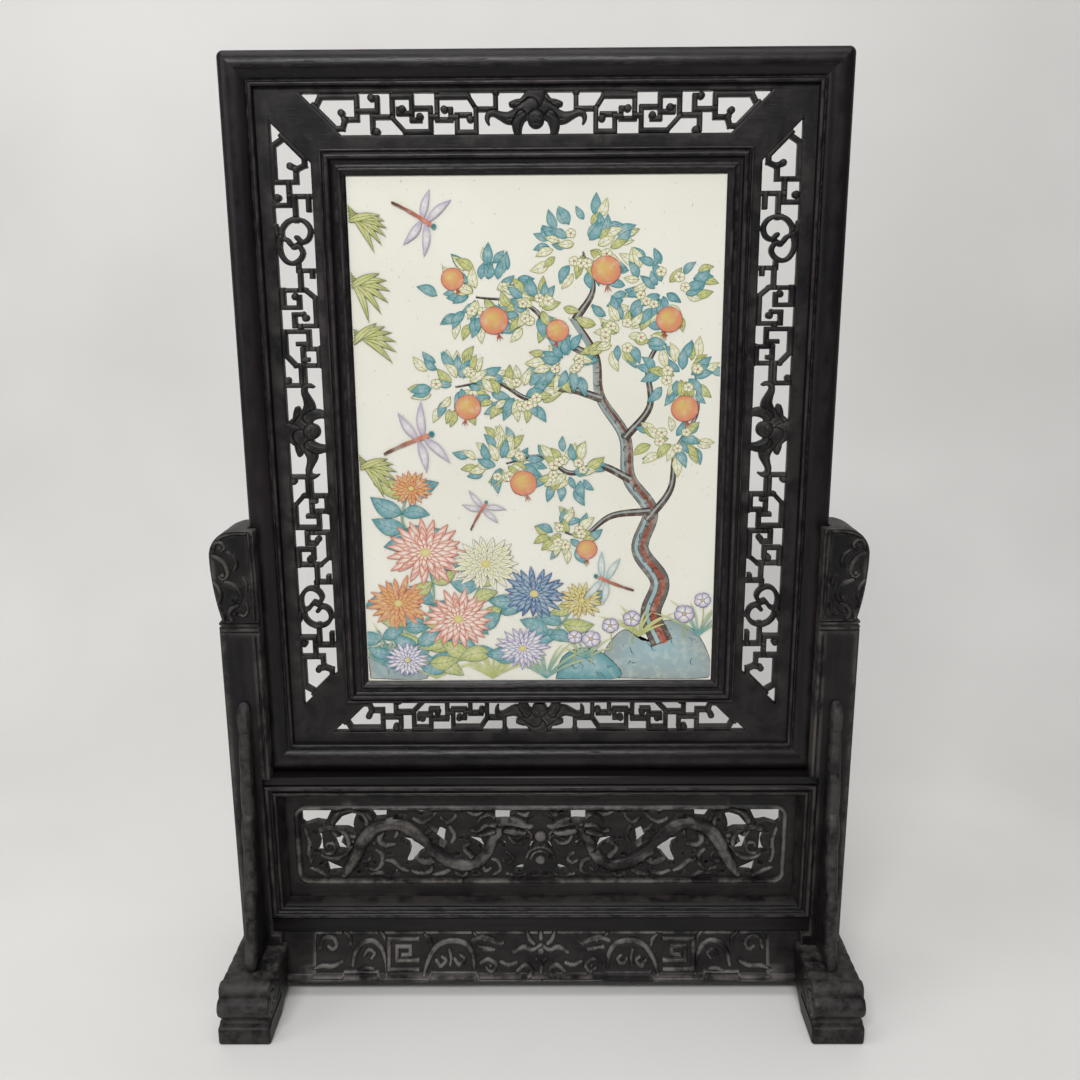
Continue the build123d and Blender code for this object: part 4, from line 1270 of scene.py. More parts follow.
# Waist
waist_d = 21.0
waist_flat = 18.5
waist_half = half_frame
waist_bottom, waist_top = waist_low_corner[2], waist_high_corner[2]
waist_w = 14.0
waist_rect = (waist_half, waist_bottom, waist_top)
panel_half = 6.0


def waist_profile():
    """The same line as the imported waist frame: two beads in front and a plain back."""
    d = waist_d
    return outline(
        through((0, -waist_flat), (2.6, -d), (5.2, -waist_flat), 11),
        through((6.6, -d + 3.5), (8.6, -d + 1.6), (10.6, -d + 4.5), 9),
        [(waist_w, -d + 9), (waist_w, -panel_half), (waist_w - tongue, -panel_half)],
        [(waist_w - tongue, panel_half), (waist_w, panel_half), (waist_w, waist_flat - 3),
         (waist_w - 3, waist_flat)],
        [(0.8, waist_flat), (0, waist_flat - 0.8), (0, -waist_flat + 0.6)],
    )


def make_waist():
    """Two rails and two stiles: the waist profile carried round, with a plain strip on each rail."""
    profile = waist_profile()
    marks = edge_marks(profile, [(2.6, 1.8, 1.0), (8.6, 1.4, 0.9), (14, 0.8, 0.5)],
                       [(6, 1.0, 0.9), (12, 1.6, 0.5)])
    for side, node in (("top", "upper_rail"), ("bottom", "lower_rail"), ("left", "waist_left_stile"),
                       ("right", "waist_right_stile")):
        grid = sweep_side(side, waist_rect, profile, 31)
        given = np.tile(marks, (grid.shape[0], 1))
        faces = skin(grid, side in ("top", "right"))
        mesh = (grid.reshape(-1, 3), faces, given)
        if side in ("top", "bottom"):
            z = (waist_top, seat_z) if side == "top" else (post_floor, waist_bottom)
            strip = eased_box((-waist_half, -waist_flat, z[0]), (waist_half, waist_flat, z[1]), 0.9)
            mesh = joined(mesh, strip)
        run = "x" if side in ("top", "bottom") else "z"
        piece("looks_" + node, "stand", mesh[0], mesh[1], stand_wood, run, mesh[2], stands_for=node)


# Pierced panel with two facing dragons
window_u, window_v = 213.5, 34.0
PANEL_HOLES = [
    [(212, 33), (184.5, 33), (191, 19.5), (195, 20), (199, 21), (203.5, 19.5), (209, 17.5), (212, 20)],
    [(184, 16), (175, 26.5), (166, 29.5), (158, 29), (155, 22.5), (158, 20), (161.5, 26.5), (164.8, 24),
     (166, 17.5), (162.5, 10.5), (168, 11.8), (172, 13.5), (183.5, 13.5)],
    [(152, 33), (135.5, 33), (137, 24), (146, 23.2)],
    [(203, 10.5), (200.5, 12.6), (194.5, 9.5), (193.8, -4.5), (191, -9.5), (201.5, -9.5), (203, -7),
     (197, -4.5), (196.3, 0.5), (198.5, 8.6)],
    [(175, 8), (181, 7), (183.3, 1.5), (180.5, -7.8), (172, -8.8), (167.5, -3), (173.5, -2.8), (177.5, 1.4),
     (175.2, 5.4)],
    [(200, -22), (196, -17.8), (190, -17.8), (184, -21), (175, -25.2), (175, -28.5), (188.5, -29.5),
     (190, -31), (191.5, -23), (195.3, -21)],
    [(131, 25), (125.5, 29), (117.5, 28.4), (118.5, 25)],
    [(139, 9.6), (135.5, 9.6), (132.5, 5.6), (137.8, 5.6)],
    [(152.5, -3.6), (148, 0.6), (145.8, -2), (149.5, -4.6)],
    [(140.6, -5.2), (131.8, -7.8), (125.2, -10.2), (127.4, -12), (137, -11.2)],
    [(123.6, 5.6), (115.5, 4.8), (108, 1.4), (103, -2.6), (102.5, -8), (108, -11), (115.5, -21), (120, -21.8),
     (119.3, -16), (115.5, -7.8), (117, -2), (123.6, 2.2)],
    [(151, -18.4), (145.8, -17.6), (147.3, -21)],
    [(109, 32), (91, 31.6), (100, 28), (107.5, 27.2)],
    [(80, 32.4), (67.5, 31.6), (69.5, 29.4), (80, 29.8)],
    [(97, 4.4), (91, 0.6), (84, -4.4), (76, -9.2), (71, -9.6), (71.5, -12), (77.5, -12.4), (86, -8), (94, -2),
     (99, 3)],
    [(89, 16), (84, 13.6), (85.4, 5.6), (82, -0.8), (86.5, -1), (94, 5.4)],
    [(67.5, 7.2), (53, 4.8), (49.5, -3.2), (43.8, -9), (48, -9), (55, -2.6), (64, 2.8), (74.5, 4.6)],
    [(40, 32), (17, 31.4), (27.5, 27.2), (24, 20.8), (31, 21.6), (40, 21)],
    [(8.6, 27.2), (0.6, 29.2), (0.6, 26.4), (6, 24.8), (12.4, 20.4), (14, 21.6)],
    [(38.5, 2.8), (35, 3.4), (31, 1), (30, -3.4), (32, -4), (34.4, -0.6), (38.8, 0)],
    [(7.6, 1.6), (1, 2.6), (1, 0), (6, -1.4), (9.6, -7.6), (11, -5)],
    [(24.4, -24), (16, -21), (13.2, -25.6), (17.6, -28.6), (23.6, -27.8)],
    [(10, -30.4), (3, -28.2), (1, -31.4), (8, -32.6)],
    [(133.4, -29.4), (129, -26.4), (124.6, -30), (121.4, -31.6), (132.6, -31.6)],
    [(64.6, -27.4), (55, -26.8), (51.8, -30.4), (62, -31.4)],
    [(165.5, -27.6), (160, -26.4), (158.6, -29.6), (164, -30.2)],
]
# Waves, leaves and clouds behind the dragon, as (distance from the middle, height, half width)
PANEL_LEAVES = [
    [(209, 14, 1.2), (206, 2, 1.6), (207, -10, 1.6), (205, -18, 1.2)],
    [(206, -24, 1), (199, -27, 1.8), (190, -33, 1.2)],
    [(170, 8, 1.5), (160, 5, 2.2), (152, 8, 2), (150, 14, 1.4), (155, 17, 1)],
    [(148, 20, 1.6), (152, 27, 1.9), (159, 32, 1.2)],
    [(156, -2, 1.2), (160, -10, 2), (158, -18, 1.8), (152, -14, 1.2), (154, -9, 0.9)],
    [(168, -12, 1.5), (164, -20, 2.1), (170, -26, 1.6), (176, -33, 1)],
    [(146, -6, 1.2), (141, -12, 2), (142, -20, 2.1), (148, -26, 1.6), (156, -24, 1), (155, -20, 0.9)],
    [(138, -16, 1.4), (131, -18, 2.2), (125, -24, 1.8), (119, -27, 1.2)],
    [(152, -30, 1.4), (143, -29, 2.1), (136, -33, 1.4)],
    [(115, -27, 1.2), (106, -30, 2), (98, -26, 1.9), (99, -19, 1.4), (105, -19, 1)],
    [(96, -31, 1.4), (87, -29, 2.2), (80, -24, 1.8), (84, -19, 1.2), (90, -21, 0.9)],
    [(76, -30, 1.4), (68, -32, 1.8), (64, -22, 1.3)],
    [(130, 17.5, 1.1), (127, 11.5, 1.6), (129, 6, 1.2)],
    [(112, 24, 1.3), (105, 21, 1.8), (98, 23.5, 1.4), (93, 29, 1)],
    [(108, 14, 1.5), (101, 10, 2.1), (97, 14.5, 1.8), (99, 19, 1.1)],
    [(88, 25, 1.2), (82, 21, 1.8), (76, 25, 1.4), (74, 31, 1)],
    [(80, 16, 1.4), (76, 8, 2), (79, 1, 1.4)],
    [(64, 31, 1.2), (57, 28, 1.8), (50, 31, 1.2)],
    [(20, 30, 1.1), (13, 27, 1.5), (10, 31, 1)],
    [(21, 4, 1.3), (14, 8, 1.8), (8, 6, 1.2)],
    [(46, -14, 1.3), (38, -18, 1.9), (36, -26, 1.6), (42, -31, 1.1)],
    [(30, -9, 1.2), (24, -14, 1.7), (28, -19, 1.3), (33, -17, 0.9)],
    [(30, -30, 1.2), (22, -32, 1.6), (13, -31, 1.1)],
    [(52, -20, 1.2), (49, -27, 1.5), (44, -24, 1)],
]
DRAGON_BODY = [
    (176, -31, 2.4), (171, -23, 4.2), (165, -12, 5.4), (159, 1, 5.8), (150, 12.5, 6), (138, 19, 6), (125,
                                                                                                     19.5, 6),
    (113, 12, 5.8), (101, -1, 5.6), (88, -13, 5.6), (74, -20, 5.6), (61, -20.5, 5.5), (51, -13, 5.2), (45,
                                                                                                       -2, 5),
    (40, 8, 5), (34, 15, 4.4),
]
DRAGON_HEAD = [
    [(36, 20, 3.2), (27, 22.5, 4.4), (18, 20, 4), (11, 16.5, 2.4), (7.5, 17.5, 1.8)],
    [(31, 13, 2.6), (23, 11.5, 3), (15.5, 10.5, 1.9), (11, 12.5, 1.2)],
    [(38, 24, 1.8), (44, 28.5, 1.5), (52, 26, 1), (55, 21, 0.7)],
    [(40, 18, 1.7), (48, 18.5, 1.6), (55, 13, 1.3), (61, 13.5, 0.9)],
    [(41, 12, 1.6), (49, 9.5, 1.4), (56, 8.5, 0.8)],
    [(28, 7.5, 1.4), (24, 2, 1.3), (17, 1, 1), (13, 4, 0.8)],
    [(12.5, 15, 0.9), (8, 9, 0.9), (9, 2.5, 0.7)],
]
DRAGON_LIMBS = [
    [(92, -11, 3.4), (100, -18, 3), (109, -15, 2.4), (114, -10, 1.4)],
    [(92, -11, 3.4), (87, 2, 3), (90, 11, 2.4), (96, 15, 1.3)],
    [(140, 14, 3), (143, 4, 2.7), (138, -1, 2.3), (130, 0, 1.3)],
    [(60, -14, 2.6), (67, -5, 2.4), (64, 0, 1.6), (58, 1.5, 1)],
]
DRAGON_SCROLLS = [
    ((168.8, 17.5), 15.5, 15.5, -70, 330, 2.6, 2.2), ((186, -1), 17.5, 13, 60, 250, 2.8, 1.8),
    ((188, -3), 7, 2.5, -60, -300, 1.5, 1.1),
]


def make_panel():
    """Board pierced between dragons that stand out from waves and leaves, in a raised rim."""
    half, low, high = shrink(waist_rect, waist_w - tongue)
    fine = 0.9
    carving = Carving(
        lines((-half - 1, -219, 3.0), (-219, 219, fine), (219, half + 3, 3.0)),
        lines((low - 1, 97, 3.0), (97, 175, fine), (175, high + 3, 3.0)),
    )
    shape(carving, [(-half, low), (half, low), (half, high), (-half, high)], reach=60.0)
    mid = 136.0
    u, v = carving.u, carving.v - mid
    box = np.maximum(np.abs(u) - window_u + 6, np.abs(v) - window_v + 6)
    past = np.hypot(np.maximum(np.abs(u) - window_u + 6, 0), np.maximum(np.abs(v) - window_v + 6, 0)) - 6
    field = np.where(box < 0, box - 6, past)
    carving.high = np.where(field < 0, -3.6, 0.0)
    rim = np.clip(1 - ((field - 1.75) / 1.75) ** 2, 0, 1)
    carving.high = np.where(field > 0, 1.2 * np.sqrt(rim), carving.high)
    carving.high -= 0.8 * fading(np.abs(field - 4.2), 0.8)
    shift = np.array([0, mid, 0])

    def both(rows, draw):
        rows = np.asarray(rows, float)
        for sign in (1, -1):
            draw(rows * [sign, 1, 1] + shift)

    for rows in PANEL_LEAVES:
        both(smooth_line(rows), lambda r: carving.raise_line(r, 1.5, -3.2, 0.9, 0.5, solid=False))
        vein = smooth_line(rows) * [1, 1, 0.0] + [0, 0, 0.28]
        both(vein, lambda r: carving.cut_line(r, 0.5))
    for centre, r0, r1, start, sweep, w0, w1 in DRAGON_SCROLLS:
        rows = spiral(centre, r0, r1, start, sweep, w0, w1, 30)
        both(rows, lambda r: carving.raise_line(r, 1.9, -2.9, 0.9, 0.6, solid=False))
    for rows in DRAGON_LIMBS:
        both(smooth_line(rows), lambda r: carving.raise_line(r, 2.2, -2.4, 0.9, 0.6, solid=False))
    body = smooth_line(DRAGON_BODY, 8)
    for sign in (1, -1):
        area, gap, way, side = carving.raise_line(
            body * [sign, 1, 1] + shift, 2.7, -2.2, 1.2, 0.8, solid=False
        )
        on = gap < -0.3
        across = np.abs(side)
        course = np.floor(across / 1.7) % 2
        scale = np.abs(np.sin(way * 1.25 + 1.57 * course)) * (0.5 + 0.5 * np.cos(side * 1.85))
        carving.high[area] -= np.where(on, 0.28 * scale, 0)
        spine = fading(np.abs(gap + 1.3), 0.5)
        carving.high[area] -= 0.4 * spine * on
    for rows in DRAGON_HEAD:
        both(smooth_line(rows), lambda r: carving.raise_line(r, 2.2, -1.9, 1.0, 0.5, solid=False))
    for sign in (1, -1):
        carving.dome((sign * 27.5, mid + 23.4), 1.7, 0.9, 0.2, 0.6, 0.5, solid=False)
        for k in range(4):
            carving.dome((sign * (12.5 + 2.6 * k), mid + 13.6), 0.8, 0.8, -1.6, 0.3, 0.4, solid=False)
    for radius, width in ((12.5, 1.0), (8.6, 1.1)):
        carving.raise_line(spiral((0, mid - 16), radius, radius, 10, 160, width, None, 20), 1.4, -2.6, 0.8,
                           0.5, solid=False)
    carving.dome((0, mid + 7), 5.2, 2.6, -2.0, 1.0, 0.7, solid=False)
    carving.cut_line(spiral((0, mid + 7), 3.2, 0.5, 60, 560, 0.35), 0.5)
    carving.dome((0, mid - 16), 4.2, 2.0, -2.2, 0.8, 0.6, solid=False)
    for points in PANEL_HOLES:
        for sign in (1, -1):
            shape(carving, np.array(points) * [sign, 1] + [0, mid], hole=True, reach=3.0)
    lip = np.clip(-carving.out / 0.9, 0, 1)
    carving.high -= 0.8 * (1 - rounded(lip))
    carving.high = np.minimum(carving.high, 1.2)
    carving.extra[..., 0] += 0.5 * fading(np.abs(field - 1.75), 1.4)
    marks = carving.marks(5, 0.7, 0.05)
    back = np.full(carving.u.shape, -panel_half)
    points, faces, given = carve(carving, panel_half + carving.high, back, upright, marks)
    piece("looks_waist_panel", "stand", points, faces, relief_wood, "x", given, stands_for="waist_panel",
          crease=50.0)


# Aprons
APRON_LINES = [
    [(198, 6, 1.4), (195, 14, 2), (187, 15, 2), (183, 9, 1.8), (186, 4.5, 1.5), (190.5, 7, 1.2)],
    [(203, -11.5, 1), (196, -9.5, 1.8), (186, -9.6, 1.8), (178, -6, 1.4)],
    [(176, 20, 1.2), (171.5, 15, 1.8), (170.5, 9, 1.2)],
    [(168.5, -9, 1.3), (166, 2, 2), (160.5, 9.5, 2.2), (151.5, 12, 2.2), (143, 6, 2), (138.5, -6, 1.8),
     (138, -16, 1.2)],
    [(158, 0, 1.1), (154, 4.5, 1.4), (149, 1.5, 1.3), (151.5, -3, 1.1)],
    [(150, -12, 1.1), (157, -11.5, 1.5), (163, -14, 1)],
    [(145, 21, 1.1), (141, 17, 1.6), (140, 13, 1)],
    [(104, 17.5, 1.1), (100, 13, 1.7), (98.5, 8, 1)],
    [(104.5, -16.5, 1.2), (100, -3, 2), (92, 8, 2.3), (80, 12, 2.4), (68, 9.5, 2.2), (61, 1, 2),
     (59.5, -11, 1.3)],
    [(93.5, -5, 1.5), (89.5, -9.5, 1.8), (85, -5, 1.5), (88.5, -2, 1)],
    [(77, -4, 1.5), (73, -8.5, 1.8), (68.5, -4, 1.5), (72, -0.5, 1)],
    [(82, 4, 1.1), (80.5, -2, 1.4), (81, -9, 1)],
    [(60, 19, 1), (56.5, 15, 1.5)],
    [(61, 12, 1.5), (53, 15, 2.4), (44, 12.5, 2.2), (37, 9, 1.5), (33.5, 10.5, 1)],
    [(56, 6.5, 1.5), (48.5, 5, 1.9), (42, 4.2, 1.2)],
    [(54, -7, 1.3), (47, -4, 1.7), (40, -9, 1.7), (44, -14.5, 1.5), (49, -11.5, 1.2)],
    [(36, -6, 1.2), (29, -9, 1.7), (22, -7, 1.3)],
    [(24, 2, 1.3), (15.5, 6.5, 2), (8, 4, 1.6), (0, 8, 1.5)],
    [(12.5, 20, 1.2), (10, 13, 1.8), (6, 9, 1.2)],
    [(0, 23, 1.4), (0, 14, 2)],
    [(21, -14, 1.4), (14, -9, 2), (8, -13.5, 1.8), (11.5, -18, 1.4)],
    [(4, -4, 1.4), (0, -9, 2), (0, -15, 1.4)],
]
APRON_KEYS = [
    [(110, 13.5), (136, 13.5), (136, -12.5), (110, -12.5)],
    [(110, -5), (129, -5), (129, 7), (117, 7), (117, 0.5), (123.5, 0)],
]
APRON_LIP = [(203, -18), (178, -18), (176, -14.8), (146, -14.8), (144, -19), (100, -19), (98, -15), (58, -15),
             (55, -20.5), (0, -20.5)]


def make_apron(front):
    """Leaning board with a carved field between plain ends, hidden on its inner side."""
    low, top, mid = apron_low[2], apron_high[2], 36.5
    reach = apron_high[0]
    carving = Carving(
        lines((-reach - 1, -204, 2.4), (-204, 204, 0.66),
              (204, reach + 2, 2.4)), lines((low - 1, top + 1, 0.66))
    )
    ends = 226.25
    shape(
        carving,
        [(-ends, low), (ends, low), (ends, foot_top), (reach, foot_top), (reach, top), (-reach, top),
         (-reach, foot_top),
         (-ends, foot_top)],
        reach=60.0,
    )
    u, v = carving.u, carving.v
    field = np.maximum(np.abs(u) - 201, np.maximum(v - 54.5, 19.5 - v))
    base = -1.5
    carving.high = np.where(field < 0, base, 0.0)
    carving.high = np.where((field >= 0) & (field < 1.2), 0.35, carving.high)
    shift = np.array([0, mid, 0])
    for rows in APRON_LINES:
        for sign in (1, -1):
            run = smooth_line(rows) * [sign, 1, 1] + shift
            area, gap = carving.raise_line(run, 1.3, base + 0.5, 0.9, 0.7, solid=False)[:2]
            carving.high[area] -= 0.35 * fading(np.abs(gap + 1.0), 0.35)
    for rows in APRON_KEYS:
        for sign in (1, -1):
            run = with_width(rows, 1.7) * [sign, 1, 1] + shift
            carving.raise_line(run, 1.1, base + 0.7, 0.9, 0.7, solid=False, square=True)
    for sign in (1, -1):
        run = with_width(APRON_LIP, 0.9) * [sign, 1, 1] + shift
        carving.raise_line(run, 0.7, base + 0.9, 0.5, 0.6, solid=False, square=True)
        carving.dome((sign * 50, mid + 12.4), 1.2, 0.6, 0.4, 0.4, 0.4, solid=False)
        carving.dome((sign * 45, mid - 9.5), 1.3, 0.9, -0.4, 0.5, 0.4, solid=False)
    carving.dome((0, mid + 3), 2.6, 1.2, 0.1, 0.7, 0.6, solid=False)
    carving.high = np.minimum(carving.high, 1.7)
    lip = np.clip((20.5 - v) / 1.2, 0, 1)
    ledge = np.clip(-carving.out / 1.6, 0, 1)
    carving.extra[..., 0] += 0.5 * fading(np.abs(v - 19), 2.2)
    marks = carving.marks(5, 0.5, 0.08)
    front_w = carving.high + lip * 2.6 - 0.9 * (1 - rounded(ledge))
    back_w = np.full(u.shape, -9.0)

    def lean(points):
        """Places on the board, whose foot stands 12 mm further out over its height of 43 mm."""
        y = -(28 - (points[:, 1] - 15) * 12 / 43) - points[:, 2]
        return np.stack([points[:, 0], y, points[:, 1]], 1)

    points, faces, given = carve(carving, front_w, back_w, lean, marks)
    if not front:
        points, faces = flipped(points, faces, 1)
    side = "front" if front else "back"
    piece(f"looks_{side}_apron", "stand", points, faces, relief_wood, "x", given,
          stands_for=side + "_apron", crease=50.0)


# Porcelain plaque and the enamels painted on it

ENAMEL = {
    "teal": (0.075, 0.27, 0.285), "deep": (0.03, 0.12, 0.14), "green": (0.36, 0.4, 0.13),
    "lime": (0.6, 0.6, 0.27), "coral": (0.62, 0.2, 0.13), "rust": (0.35, 0.07, 0.035),
    "cobalt": (0.06, 0.11, 0.33), "lilac": (0.38, 0.31, 0.47), "bark": (0.075, 0.045, 0.032),
    "ink": (0.012, 0.012, 0.014), "gold": (0.62, 0.45, 0.14), "white": (0.8, 0.78, 0.7),
    "grey": (0.28, 0.33, 0.32), "sky": (0.3, 0.45, 0.48),
}

MUM_SQUASH = 0.85
COAT = 0.00016


def turned(angle):
    """Matrix that turns rows of flat places by an angle in radians."""
    c, s = math.cos(angle), math.sin(angle)
    return np.array([[c, s], [-s, c]])


class Painting:
    """Thin coats of enamel on the face of the plaque, kept as coloured fans and strips.

    Every coat lies a little above the one before it, from a few hundredths of a millimetre up.
    """

    def __init__(self, front):
        self.front = front
        self.coat = 30
        self.points, self.faces, self.tips, self.tints = [], [], [], []
        self.total = 0

    def keep(self, spots, faces, tints, tips=None):
        """Adds flat places (x, z) with their faces of four and of three, and a colour for each."""
        spots = np.asarray(spots, float)
        y = np.full(len(spots), self.front - 0.02 - self.coat * COAT)
        self.points.append(np.stack([spots[:, 0], y, spots[:, 1]], 1))
        self.faces.append(np.asarray(faces) + self.total)
        if tips is not None:
            self.tips.append(np.asarray(tips) + self.total)
        self.tints.append(np.broadcast_to(np.asarray(tints, float), (len(spots), 3)))
        self.total += len(spots)
        self.coat += 1

    def ribbon(self, points, widths, tint, fade=None):
        """A brush line whose half width may change along it."""
        line = np.asarray(points, float)
        way = np.gradient(line, axis=0)
        way /= np.linalg.norm(way, axis=1)[:, None] + 1e-9
        across = np.stack([-way[:, 1], way[:, 0]], 1)
        half = np.broadcast_to(np.asarray(widths, float), (len(line),))[:, None]
        spots = np.stack([line - across * half, line + across * half], 1).reshape(-1, 2)
        k = np.arange(len(line) - 1)[:, None] * 2
        first = np.asarray(ENAMEL[tint] if isinstance(tint, str) else tint)
        last = first if fade is None else np.asarray(ENAMEL[fade])
        share = np.repeat(np.linspace(0, 1, len(line)), 2)[:, None]
        self.keep(spots, k + np.array([[0, 2, 3, 1]]), first * (1 - share) + last * share)

    def fan(self, ring, middle, tint, heart):
        """A closed shape shaded from its heart to its rim."""
        ring = np.asarray(ring, float)
        n = len(ring)
        inner = middle + (ring - middle) * 0.5
        spots = np.concatenate([[middle], inner, ring])
        k = np.arange(n)
        m = (k + 1) % n
        quads = np.stack([1 + k, 1 + n + k, 1 + n + m, 1 + m], 1)
        tips = np.stack([np.zeros(n, int), 1 + k, 1 + m], 1)
        rim, core = np.asarray(ENAMEL[tint]), np.asarray(ENAMEL[heart])
        tints = np.concatenate([[core], np.tile(core * 0.6 + rim * 0.4, (n, 1)), np.tile(rim, (n, 1))])
        self.keep(spots, quads, tints, tips)

    def outline(self, ring, half, tint="ink"):
        """A brush line round a closed shape."""
        ring = np.asarray(ring, float)
        self.ribbon(np.concatenate([ring, ring[:2]]), half, tint)

    def leaf(self, base, angle, length, width, tint, heart, line="deep", veins=3, bend=0.12, half=0.16):
        """A pointed leaf with a midrib and side veins; its sides are two bowed lines."""
        t = np.linspace(0, 1, 9)
        side = np.sin(np.pi * t ** 0.8) * width / 2
        curve = bend * length * np.sin(np.pi * t)
        upper = np.stack([t * length, curve + side], 1)
        lower = np.stack([t * length, curve - side], 1)[::-1]
        ring = np.concatenate([upper, lower[1:-1]])
        turn = turned(math.radians(angle))

        def place(rows):
            return np.asarray(rows) @ turn + base

        self.fan(place(ring), place([[0.5 * length, bend * length]])[0], tint, heart)
        self.outline(place(ring), half, line)
        self.ribbon(place(np.stack([t * length * 0.94, curve], 1)), half, line)
        for k in range(veins):
            a = (k + 1) / (veins + 1.4)
            y = bend * length * math.sin(math.pi * a)
            reach = math.sin(math.pi * a ** 0.8) * width * 0.38
            for up in (1, -1):
                tip = (a * length + reach * 0.8, y + up * reach)
                self.ribbon(place([[a * length, y], tip]), half * 0.6, line)

    def flower(self, centre, radius, petals, tint, heart, eye="gold", line="rust", turn=0.0, squash=1.0,
               half=0.14):
        """Round petals about an eye, each shaded towards the middle."""
        centre = np.asarray(centre, float)
        for k in range(petals):
            angle = turn + 2 * math.pi * k / petals
            t = np.linspace(0, 2 * math.pi, 9, endpoint=False)
            wide = radius * math.sin(math.pi / petals) * 1.12
            ring = np.stack([radius * 0.58 + radius * 0.44 * np.cos(t),
                             wide * np.sin(t) * (0.8 + 0.2 * np.cos(t))], 1)
            ring = ring @ turned(angle) * [1, squash] + centre
            self.fan(ring, ring.mean(0) * 0.6 + centre * 0.4, tint, heart)
            self.outline(ring, half, line)
        t = np.linspace(0, 2 * math.pi, 8, endpoint=False)
        ring = centre + radius * 0.2 * np.stack([np.cos(t), np.sin(t) * squash], 1)
        self.fan(ring, centre, eye, eye)
        self.outline(ring, half * 0.8, line)

    def mum(self, centre, radius, tint, heart, line, seed, rows=4):
        """A chrysanthemum: rings of long petals that shorten towards the middle."""
        rng = np.random.default_rng(seed)
        centre = np.asarray(centre, float)
        for row in range(rows):
            share = 1 - row / (rows + 0.6)
            count = int(10 + 9 * share)
            for k in range(count):
                angle = 2 * math.pi * (k + 0.5 * (row % 2)) / count + rng.normal(0, 0.05)
                length = radius * share * (1 + rng.normal(0, 0.05))
                t = np.linspace(0, 1, 6)
                wide = np.sin(np.pi * (0.12 + 0.85 * t)) * radius * share * 1.9 / count
                start = 0.3 * length
                upper = np.stack([start + t * (length - start), wide], 1)
                lower = np.stack([start + t * (length - start), -wide], 1)[::-1]
                ring = np.concatenate([upper, lower]) @ turned(angle)
                ring = ring * [1, MUM_SQUASH] + centre
                self.fan(ring, ring.mean(0), tint, heart)
                self.outline(ring, 0.13, line)
        t = np.linspace(0, 2 * math.pi, 10, endpoint=False)
        ring = centre + radius * 0.14 * np.stack([np.cos(t), np.sin(t) * MUM_SQUASH], 1)
        self.fan(ring, centre, "gold", "lime")

    def fruit(self, centre, radius, tint, heart, turn=0.0):
        """A round fruit with a small crown at its end."""
        centre = np.asarray(centre, float)
        t = np.linspace(0, 2 * math.pi, 18, endpoint=False)
        ring = centre + radius * np.stack([np.cos(t), 0.94 * np.sin(t)], 1)
        self.fan(ring, centre + [-0.3 * radius, 0.3 * radius], tint, heart)
        self.outline(ring, 0.2, "rust")
        end = centre + radius * np.array([math.sin(turn), -math.cos(turn)])
        for k in (-1, 0, 1):
            angle = turn + 0.5 * k
            tip = end + radius * 0.5 * np.array([math.sin(angle), -math.cos(angle)])
            self.ribbon([end, (end + tip) / 2, tip], [0.7, 0.5, 0.1], "rust")


def leaf_cluster(paint, centre, radius, count, seed, tints=("teal", "green"), size=11.0, fruits=0):
    """Leaves that point outwards from a centre, laid from the rim inwards."""
    rng = np.random.default_rng(seed)
    order = np.sort(rng.uniform(0.15, 1.0, count))[::-1]
    for k, share in enumerate(order):
        angle = rng.uniform(0, 360)
        spot = centre + radius * share * np.array([math.cos(math.radians(angle)),
                                                   0.72 * math.sin(math.radians(angle))])
        kind = tints[int(rng.integers(len(tints)))]
        heart = {"teal": "sky", "green": "lime", "lime": "white", "grey": "sky", "cobalt": "sky"}.get(kind,
                                                                                                      "white")
        long = size * rng.uniform(0.75, 1.15)
        paint.leaf(spot, angle + rng.normal(0, 22), long, long * 0.46, kind, heart,
                   "deep" if kind == "teal" else "bark", 2, rng.uniform(-0.12, 0.12), 0.13)
    for _ in range(fruits):
        angle = rng.uniform(0, 2 * math.pi)
        spot = centre + radius * 0.55 * np.array([math.cos(angle), 0.7 * math.sin(angle)])
        paint.flower(spot, rng.uniform(3.6, 4.6), 5, "lime", "white", "coral", "bark", rng.uniform(0, 3),
                     0.9, 0.12)


def tuft(paint, base, count, length, seed, tint):
    """Narrow blades that rise from one place and bend outwards."""
    rng = np.random.default_rng(seed)
    for k in range(count):
        angle = math.radians(90 + 55 * (2 * (k + 0.5) / count - 1) + rng.normal(0, 4))
        reach = length * rng.uniform(0.7, 1.1)
        t = np.linspace(0, 1, 8)
        lean = np.sign(math.cos(angle)) * 0.28
        x = base[0] + reach * (t * math.cos(angle) + lean * t**2 * 0.6)
        z = base[1] + reach * (t * math.sin(angle) - 0.22 * t**2)
        paint.ribbon(np.stack([x, z], 1), 1.1 * np.sin(np.pi * (0.12 + 0.86 * t)), tint, "lime")


def dragonfly(paint, centre, angle, size, tint="lilac"):
    """Four veined wings, a jointed body and a round head."""
    turn = turned(math.radians(angle))
    for spread, reach in ((68, 1.0), (102, 0.92), (-68, 1.0), (-102, 0.92)):
        base = np.array([0.12 if abs(spread) < 90 else -0.02, 0]) * size @ turn + centre
        paint.leaf(base, angle + spread, size * reach, size * 0.24, tint, "white", "grey", 4, 0.04, 0.1)
    t = np.linspace(0, 1, 12)
    tail = np.stack([0.3 * size - 1.35 * size * t, 0.05 * size * np.sin(2.4 * t)], 1) @ turn + centre
    paint.ribbon(tail, size * 0.045 * (1.2 - 0.6 * t + 0.35 * np.abs(np.sin(9 * t))), "coral", "bark")
    ring = np.linspace(0, 2 * math.pi, 9, endpoint=False)
    head = np.array([0.37, 0]) * size @ turn + centre
    paint.fan(head + size * 0.085 * np.stack([np.cos(ring), np.sin(ring)], 1), head, "teal", "deep")


